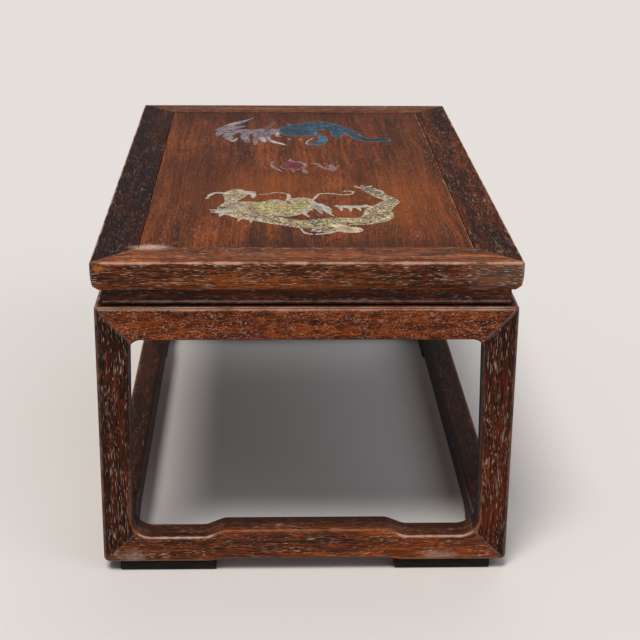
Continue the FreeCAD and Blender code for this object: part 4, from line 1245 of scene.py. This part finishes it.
@dataclass
class Stand:
    """The waist, aprons, legs, stretchers and pads under the top."""

    # The pale, worn and rubbed colours are wear with painted highlights on it, the rim colour a painted
    # highlight, and the shade painted shade.
    pale: str = "#cba08c"
    wear_and_highlight: str = "#a3683c"
    rub: str = "#9c5c33"
    rim: str = "#b9a096"
    shade: str = "#1a0d08"
    joint: str = "#100806"
    dust: str = "#94837a"
    scuff: str = "#a8958a"
    leg_top: float = 23 * MM
    leg_foot: float = 21 * MM
    apron: float = 24 * MM
    stretcher: float = 20.5 * MM
    opening_radius: float = 14 * MM
    arris_radius: float = 0.9 * MM

    def outline(self) -> Tuple[Triple, Triple]:
        """The box round the legs, aprons and stretchers.

        Returns:
            Its lowest and its highest corner.
        """
        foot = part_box("stretcher_left")[0]
        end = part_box("stretcher_back")[1].y
        return (foot.x, -end, foot.z), (-foot.x, end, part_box("apron_front")[1].z)

    def opening_marks(self) -> List[Mark]:
        """The rubbed rims of the four openings, partly a painted highlight, with a pale painted highlight
        that fades upwards.

        Returns:
            The marks, the lowest layer first.
        """
        low, high = self.outline()
        sill, head = low[2] + self.stretcher, high[2] - self.apron
        ends = dict(through=Grain.Y, low=(low[0] + self.leg_foot, 0, sill),
                    high=(high[0] - self.leg_foot, 0, head), face=high[1])
        sides = dict(through=Grain.X, low=(0, low[1] + self.leg_foot, sill),
                     high=(0, high[1] - self.leg_foot, head), face=high[0],
                     rise_inner=170 * MM, rise_outer=183 * MM)
        # The rub colour is worn rims that also hold a painted highlight; the rim colour is a painted
        # highlight, strongest low down.
        return [OpeningMark(colour, reach_mm=reach_mm, strength=strength, ragged_mm=ragged_mm,
                            patch_mm=patch_mm, soft_mm=soft_mm, roughness=0.34, fade_mm=fade_mm,
                            corner=self.opening_radius, **opening)
                for colour, reach_mm, strength, ragged_mm, patch_mm, soft_mm, fade_mm in (
                    (self.rub, 1.3, 0.6, 1.0, 7.0, 0.8, 3.0), (self.rim, 1.1, 0.8, 0.6, 6.0, 0.6, 42.0))
                for opening in (ends, sides)]

    def mitre_marks(self, high_mitres: bool, low_mitres: bool) -> List[Mark]:
        """The opened mitres of the legs, each a line of dust with a dark crack in it.

        Args:
            high_mitres: whether the piece has the mitres between the legs and the aprons.
            low_mitres: whether the piece has the mitres between the legs and the stretchers.

        Returns:
            The marks, the lowest layer first.
        """
        low, high = self.outline()
        levels: List[Tuple[float, float, float, float]] = []
        if high_mitres:
            levels.append((self.apron, -self.leg_top, high[2], 0.9))
        if low_mitres:
            levels.append((self.stretcher, self.leg_foot, low[2], 0.45))
        marks: List[Mark] = []
        for rise, run, height, open_share in levels:
            ends = ((rise, 0, run), (high[0], 0, height))
            sides = ((0, rise, run), (0, high[1], height))
            for normal, through in (ends, sides):
                marks.append(LineMark(self.dust, reach_mm=0.55, strength=0.7 * open_share, ragged_mm=0.5,
                                      patch_mm=5.0, soft_mm=0.3, roughness=0.8, normal=normal,
                                      through=through))
                marks.append(LineMark(self.joint, reach_mm=0.32, strength=open_share, ragged_mm=0.1,
                                      patch_mm=5.0, soft_mm=0.15, roughness=0.8, normal=normal,
                                      through=through))
        return marks

    def marks(self, high_mitres: bool = False, low_mitres: bool = False) -> Tuple[Mark, ...]:
        """What age left on the stand, with painted light and shade: rubbed edges with painted highlights,
        opened mitres, painted shade inside it, under the waist and on its upright corners, and rubbed rims
        of the openings with painted highlights.

        Args:
            high_mitres: whether the piece has the mitres between the legs and the aprons.
            low_mitres: whether the piece has the mitres between the legs and the stretchers.

        Returns:
            The marks, the lowest layer first.
        """
        low, high = self.outline()
        foot, ledge = low[2], high[2]
        waist_x, waist_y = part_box("waist_right")[1].x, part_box("waist_back")[1].y
        edge_x, edge_y = high[0] - self.arris_radius, high[1] - self.arris_radius
        inside = (high[0] - self.leg_foot, high[1] - self.leg_foot, ledge)
        shaded = (high[0] - 6 * MM, high[1] - 15 * MM, ledge)
        # A box far taller than the stand leaves only its upright edges within reach.
        below, above = -100 * MM, 400 * MM
        marks: List[Mark] = [
            # Painted shade on the inner faces of the stand, darker deeper in.
            CornerMark(self.shade, reach_mm=3.0, strength=0.55, ragged_mm=0.8, patch_mm=20.0, soft_mm=2.4,
                       roughness=0.7, low=(-shaded[0], -shaded[1], foot), high=shaded),
            CornerMark(self.shade, reach_mm=2.0, strength=0.6, ragged_mm=0.6, patch_mm=20.0, soft_mm=1.4,
                       roughness=0.7, low=(-inside[0], -inside[1], foot), high=inside),
            # Painted shade darkening the upright outer corners of the stand.
            ArrisMark("#140905", reach_mm=4.4, strength=0.5, ragged_mm=1.2, patch_mm=18.0, soft_mm=2.6,
                      roughness=0.5, low=(low[0], low[1], below), high=(high[0], high[1], above)),
            # Worn edges, pale also as a painted highlight along them.
            ArrisMark(self.wear_and_highlight, reach_mm=1.7, strength=0.6, ragged_mm=1.1, patch_mm=8.0, soft_mm=1.2,
                      roughness=0.35, low=low, high=high),
        ]
        # A pale line along the aprons' top outer edge: wear with a painted highlight on it.
        for normal, through in (((0, 1, 1), (0, edge_y, ledge)), ((1, 0, 1), (edge_x, 0, ledge))):
            marks.append(LineMark(self.pale, reach_mm=0.5, strength=0.75, ragged_mm=0.75, patch_mm=14.0,
                                  soft_mm=0.7, roughness=0.35, normal=normal, through=through))
        # Painted shade in the corner where the waist stands on the aprons.
        marks.append(CornerMark("#0b0605", reach_mm=1.5, strength=0.85, ragged_mm=0.5, patch_mm=8.0,
                                soft_mm=0.7, roughness=0.8, low=(-waist_x, -waist_y, ledge),
                                high=(waist_x, waist_y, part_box("waist_right")[1].z)))
        marks += self.opening_marks() + self.mitre_marks(high_mitres, low_mitres)
        for x, reach in ((-126 * MM, 8 * MM), (98 * MM, 11 * MM)):
            marks.append(SpotMark(self.scuff, reach_mm=3.0, strength=0.42, ragged_mm=2.0, patch_mm=2.4,
                                  soft_mm=2.6, roughness=0.6, centre=(x, low[1], foot + 5 * MM),
                                  radii=(reach, 5 * MM, 3.2 * MM)))
        return tuple(marks)

    def dress(self) -> List[str]:
        """Give the stand its finish.

        Returns:
            The names of the pieces.
        """
        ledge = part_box("apron_front")[1].z
        dust_and_quirk_shade = (
            LineMark("#8f7d76", reach_mm=0.6, strength=0.6, ragged_mm=0.6, patch_mm=9.0, soft_mm=0.4,
                     roughness=0.8, through=(0, 0, ledge + 3 * MM)),
            # Painted shade in the gap under the waist.
            LineMark("#080504", reach_mm=1.3, strength=0.9, ragged_mm=0.6, patch_mm=14.0, soft_mm=0.5,
                     roughness=0.8, through=(0, 0, ledge)),
        )
        names: List[str] = []
        for grain, sides in ((Grain.X, ENDS), (Grain.Y, FLANKS)):
            # Wavy stock with short fibres: bright red-brown under a crowd of fine pale flecks.
            apron = FilledHardwood(f"hardwood_apron_lacquered_{grain.name}", grain, "#1a0803", "#5f2607",
                                   "#9a4710", streak_mm=(11.0, 2.2), fibre_mm=(5.0, 0.8), pore_mm=(1.9, 0.3),
                                   filled=0.5, cake=0.8, empty=1.0, marks=self.marks(high_mitres=True))
            names += dress(apron.build(), [f"apron_{side}" for side in sides])
            # Rubbed by feet: warmer and glossier, with their tops painted darker as painted shade under the
            # top.
            rail = FilledHardwood(f"hardwood_stretcher_lacquered_{grain.name}", grain, "#1c0a03", "#5a2606",
                                  "#92440b", filled=0.35, empty=0.8, roughness=0.34, gloss=0.25,
                                  top_tone=0.58, marks=self.marks(low_mitres=True))
            names += dress(rail.build(), [f"stretcher_{side}" for side in sides])
            # Out of reach, and painted darker as painted shade under the top, with a line of dust along the
            # foot and painted shade in the gap below.
            waist = FilledHardwood(f"hardwood_waist_lacquered_{grain.name}", grain, "#150603", "#3c1607",
                                   "#652a0c", filler="#a08a80", filled=0.35, empty=0.4, marks=dust_and_quirk_shade)
            names += dress(waist.build(), [f"waist_{side}" for side in sides])
        # Near-black stock, darker than the aprons partly as painted shade, with long thin pale pores.
        leg = FilledHardwood("hardwood_leg_lacquered", Grain.Z, "#070200", "#220b02", "#612504",
                             pore_mm=(6.5, 0.27), filled=0.5, empty=0.9, gloss=0.16,
                             marks=self.marks(high_mitres=True, low_mitres=True))
        names += dress(leg.build(), [f"leg_{corner}" for corner in CORNERS])
        # Near-black as painted shade under the stretchers: dull, with hardly any figure.
        pad = FilledHardwood("hardwood_pad_painted_shade", Grain.X, "#090605", "#150e0c", "#1d1411",
                             filler="#3c332d", filled=0.3, roughness=0.6)
        return names + dress(pad.build(), [f"foot_{corner}" for corner in CORNERS])


@dataclass
class Studio:
    """A plain pale floor, soft lights, and the camera of the photograph."""

    camera_place: Triple = (-0.0289, -1.2600, 0.5591)
    camera_heading_deg: float = -2.1446
    camera_pitch_deg: float = 19.84
    camera_roll_deg: float = 0.633
    lens_mm: float = 86.05
    sensor_mm: float = 36.0
    clip_start: float = 0.05
    lamp_reach: float = 2.0
    room_colour: str = "#eef0f3"
    room_strength: float = 0.24
    floor_colour: str = "#e2e0de"
    floor_reach: float = 9.0
    backdrop_height: float = 1.1
    backdrop_sides: int = 64
    backdrop_steps: int = 12

    def camera(self) -> None:
        """Set up the camera."""
        data = bpy.data.cameras.new("camera")
        data.lens = self.lens_mm
        data.sensor_width = self.sensor_mm
        data.clip_start = self.clip_start
        camera = bpy.data.objects.new("camera", data)
        heading = Matrix.Rotation(math.radians(self.camera_heading_deg), 4, "Z")
        pitch = Matrix.Rotation(math.radians(90 - self.camera_pitch_deg), 4, "X")
        roll = Matrix.Rotation(math.radians(self.camera_roll_deg), 4, "Z")
        camera.matrix_world = Matrix.Translation(self.camera_place) @ heading @ pitch @ roll
        bpy.context.scene.collection.objects.link(camera)
        bpy.context.scene.camera = camera

    def floor(self) -> None:
        """Lay the floor, which curves up all round into a low backdrop."""
        sides = self.backdrop_sides
        points = []
        for rise in np.linspace(0, math.pi / 2, self.backdrop_steps):
            reach = self.floor_reach + self.backdrop_height * math.sin(rise)
            level = self.backdrop_height * (1 - math.cos(rise))
            points += [(reach * math.cos(turn), reach * math.sin(turn), level)
                       for turn in np.linspace(0, 2 * math.pi, sides, endpoint=False)]
        faces = [tuple(range(sides))]
        for ring in range(0, (self.backdrop_steps - 1) * sides, sides):
            for one in range(sides):
                beside = (one + 1) % sides
                faces.append((ring + one, ring + sides + one, ring + sides + beside, ring + beside))
        mesh = bpy.data.meshes.new("floor")
        mesh.from_pydata(points, [], faces)
        mesh.shade_smooth()
        # Matt paper: an even pale ground with the faintest specks.
        material, tree, place = new_material("studio_paper_matt")
        fleck = add_node(tree, "TexNoise", {"Vector": place, "Scale": 1 / (1.5 * MM), "Detail": 2.0})
        finish_material(tree, linear(self.floor_colour), roughness=0.9, height=fleck, depth_mm=0.02)
        mesh.materials.append(material)
        floor = bpy.data.objects.new("floor", mesh)
        bpy.context.scene.collection.objects.link(floor)

    def sun(self, name: str, turn_deg: float, rise_deg: float, spread_deg: float, strength: float,
            colour: str = "#ffffff") -> None:
        """Hang a soft light so far off that it falls alike on the whole scene.

        Args:
            name: the light's name.
            turn_deg: how far it stands round from the front, to the right.
            rise_deg: how high it stands.
            spread_deg: how wide it looks, and so how soft its shadows are.
            strength: its strength in watts per square metre.
            colour: its colour.
        """
        data = bpy.data.lights.new(name, "SUN")
        data.energy = strength
        data.angle = math.radians(spread_deg)
        data.color = linear(colour)[:3]
        lamp = bpy.data.objects.new(name, data)
        turn, rise = math.radians(turn_deg), math.radians(rise_deg)
        way = Vector((math.sin(turn) * math.cos(rise), -math.cos(turn) * math.cos(rise), math.sin(rise)))
        aim = (-way).to_track_quat("-Z", "Y").to_matrix().to_4x4()
        lamp.matrix_world = Matrix.Translation(self.lamp_reach * way) @ aim
        bpy.context.scene.collection.objects.link(lamp)

    def light(self) -> None:
        """Hang the lights and set the light of the room."""
        self.sun("key", -24, 64, 22, 2.3, "#fff8f0")
        self.sun("fill", 52, 42, 40, 0.45, "#f3f6ff")
        self.sun("back", 165, 62, 30, 0.3)
        world = bpy.data.worlds.new("room")
        world.use_nodes = True
        world.node_tree.nodes.clear()
        sky = add_node(world.node_tree, "Background", {"Color": linear(self.room_colour),
                                                       "Strength": self.room_strength})
        add_node(world.node_tree, "OutputWorld", {"Surface": sky})
        bpy.context.scene.world = world

    def build(self) -> None:
        """Set up the whole studio."""
        self.camera()
        self.floor()
        self.light()
        bpy.context.scene.view_settings.view_transform = "Standard"


def main() -> None:
    """Build everything in order and report each piece."""
    logging.basicConfig(level=logging.INFO, format="%(name)s: %(message)s")
    Studio().build()
    panel = PaintedPanel()
    for part, names in (
        ("top frame", TopFrame().dress()),
        ("panel and battens", panel.dress()),
        ("figures", panel.paint()),
        ("stand", Stand().dress()),
    ):
        for name in names:
            log.info("%s: %s", part, name)


if __name__ == "__main__":
    main()
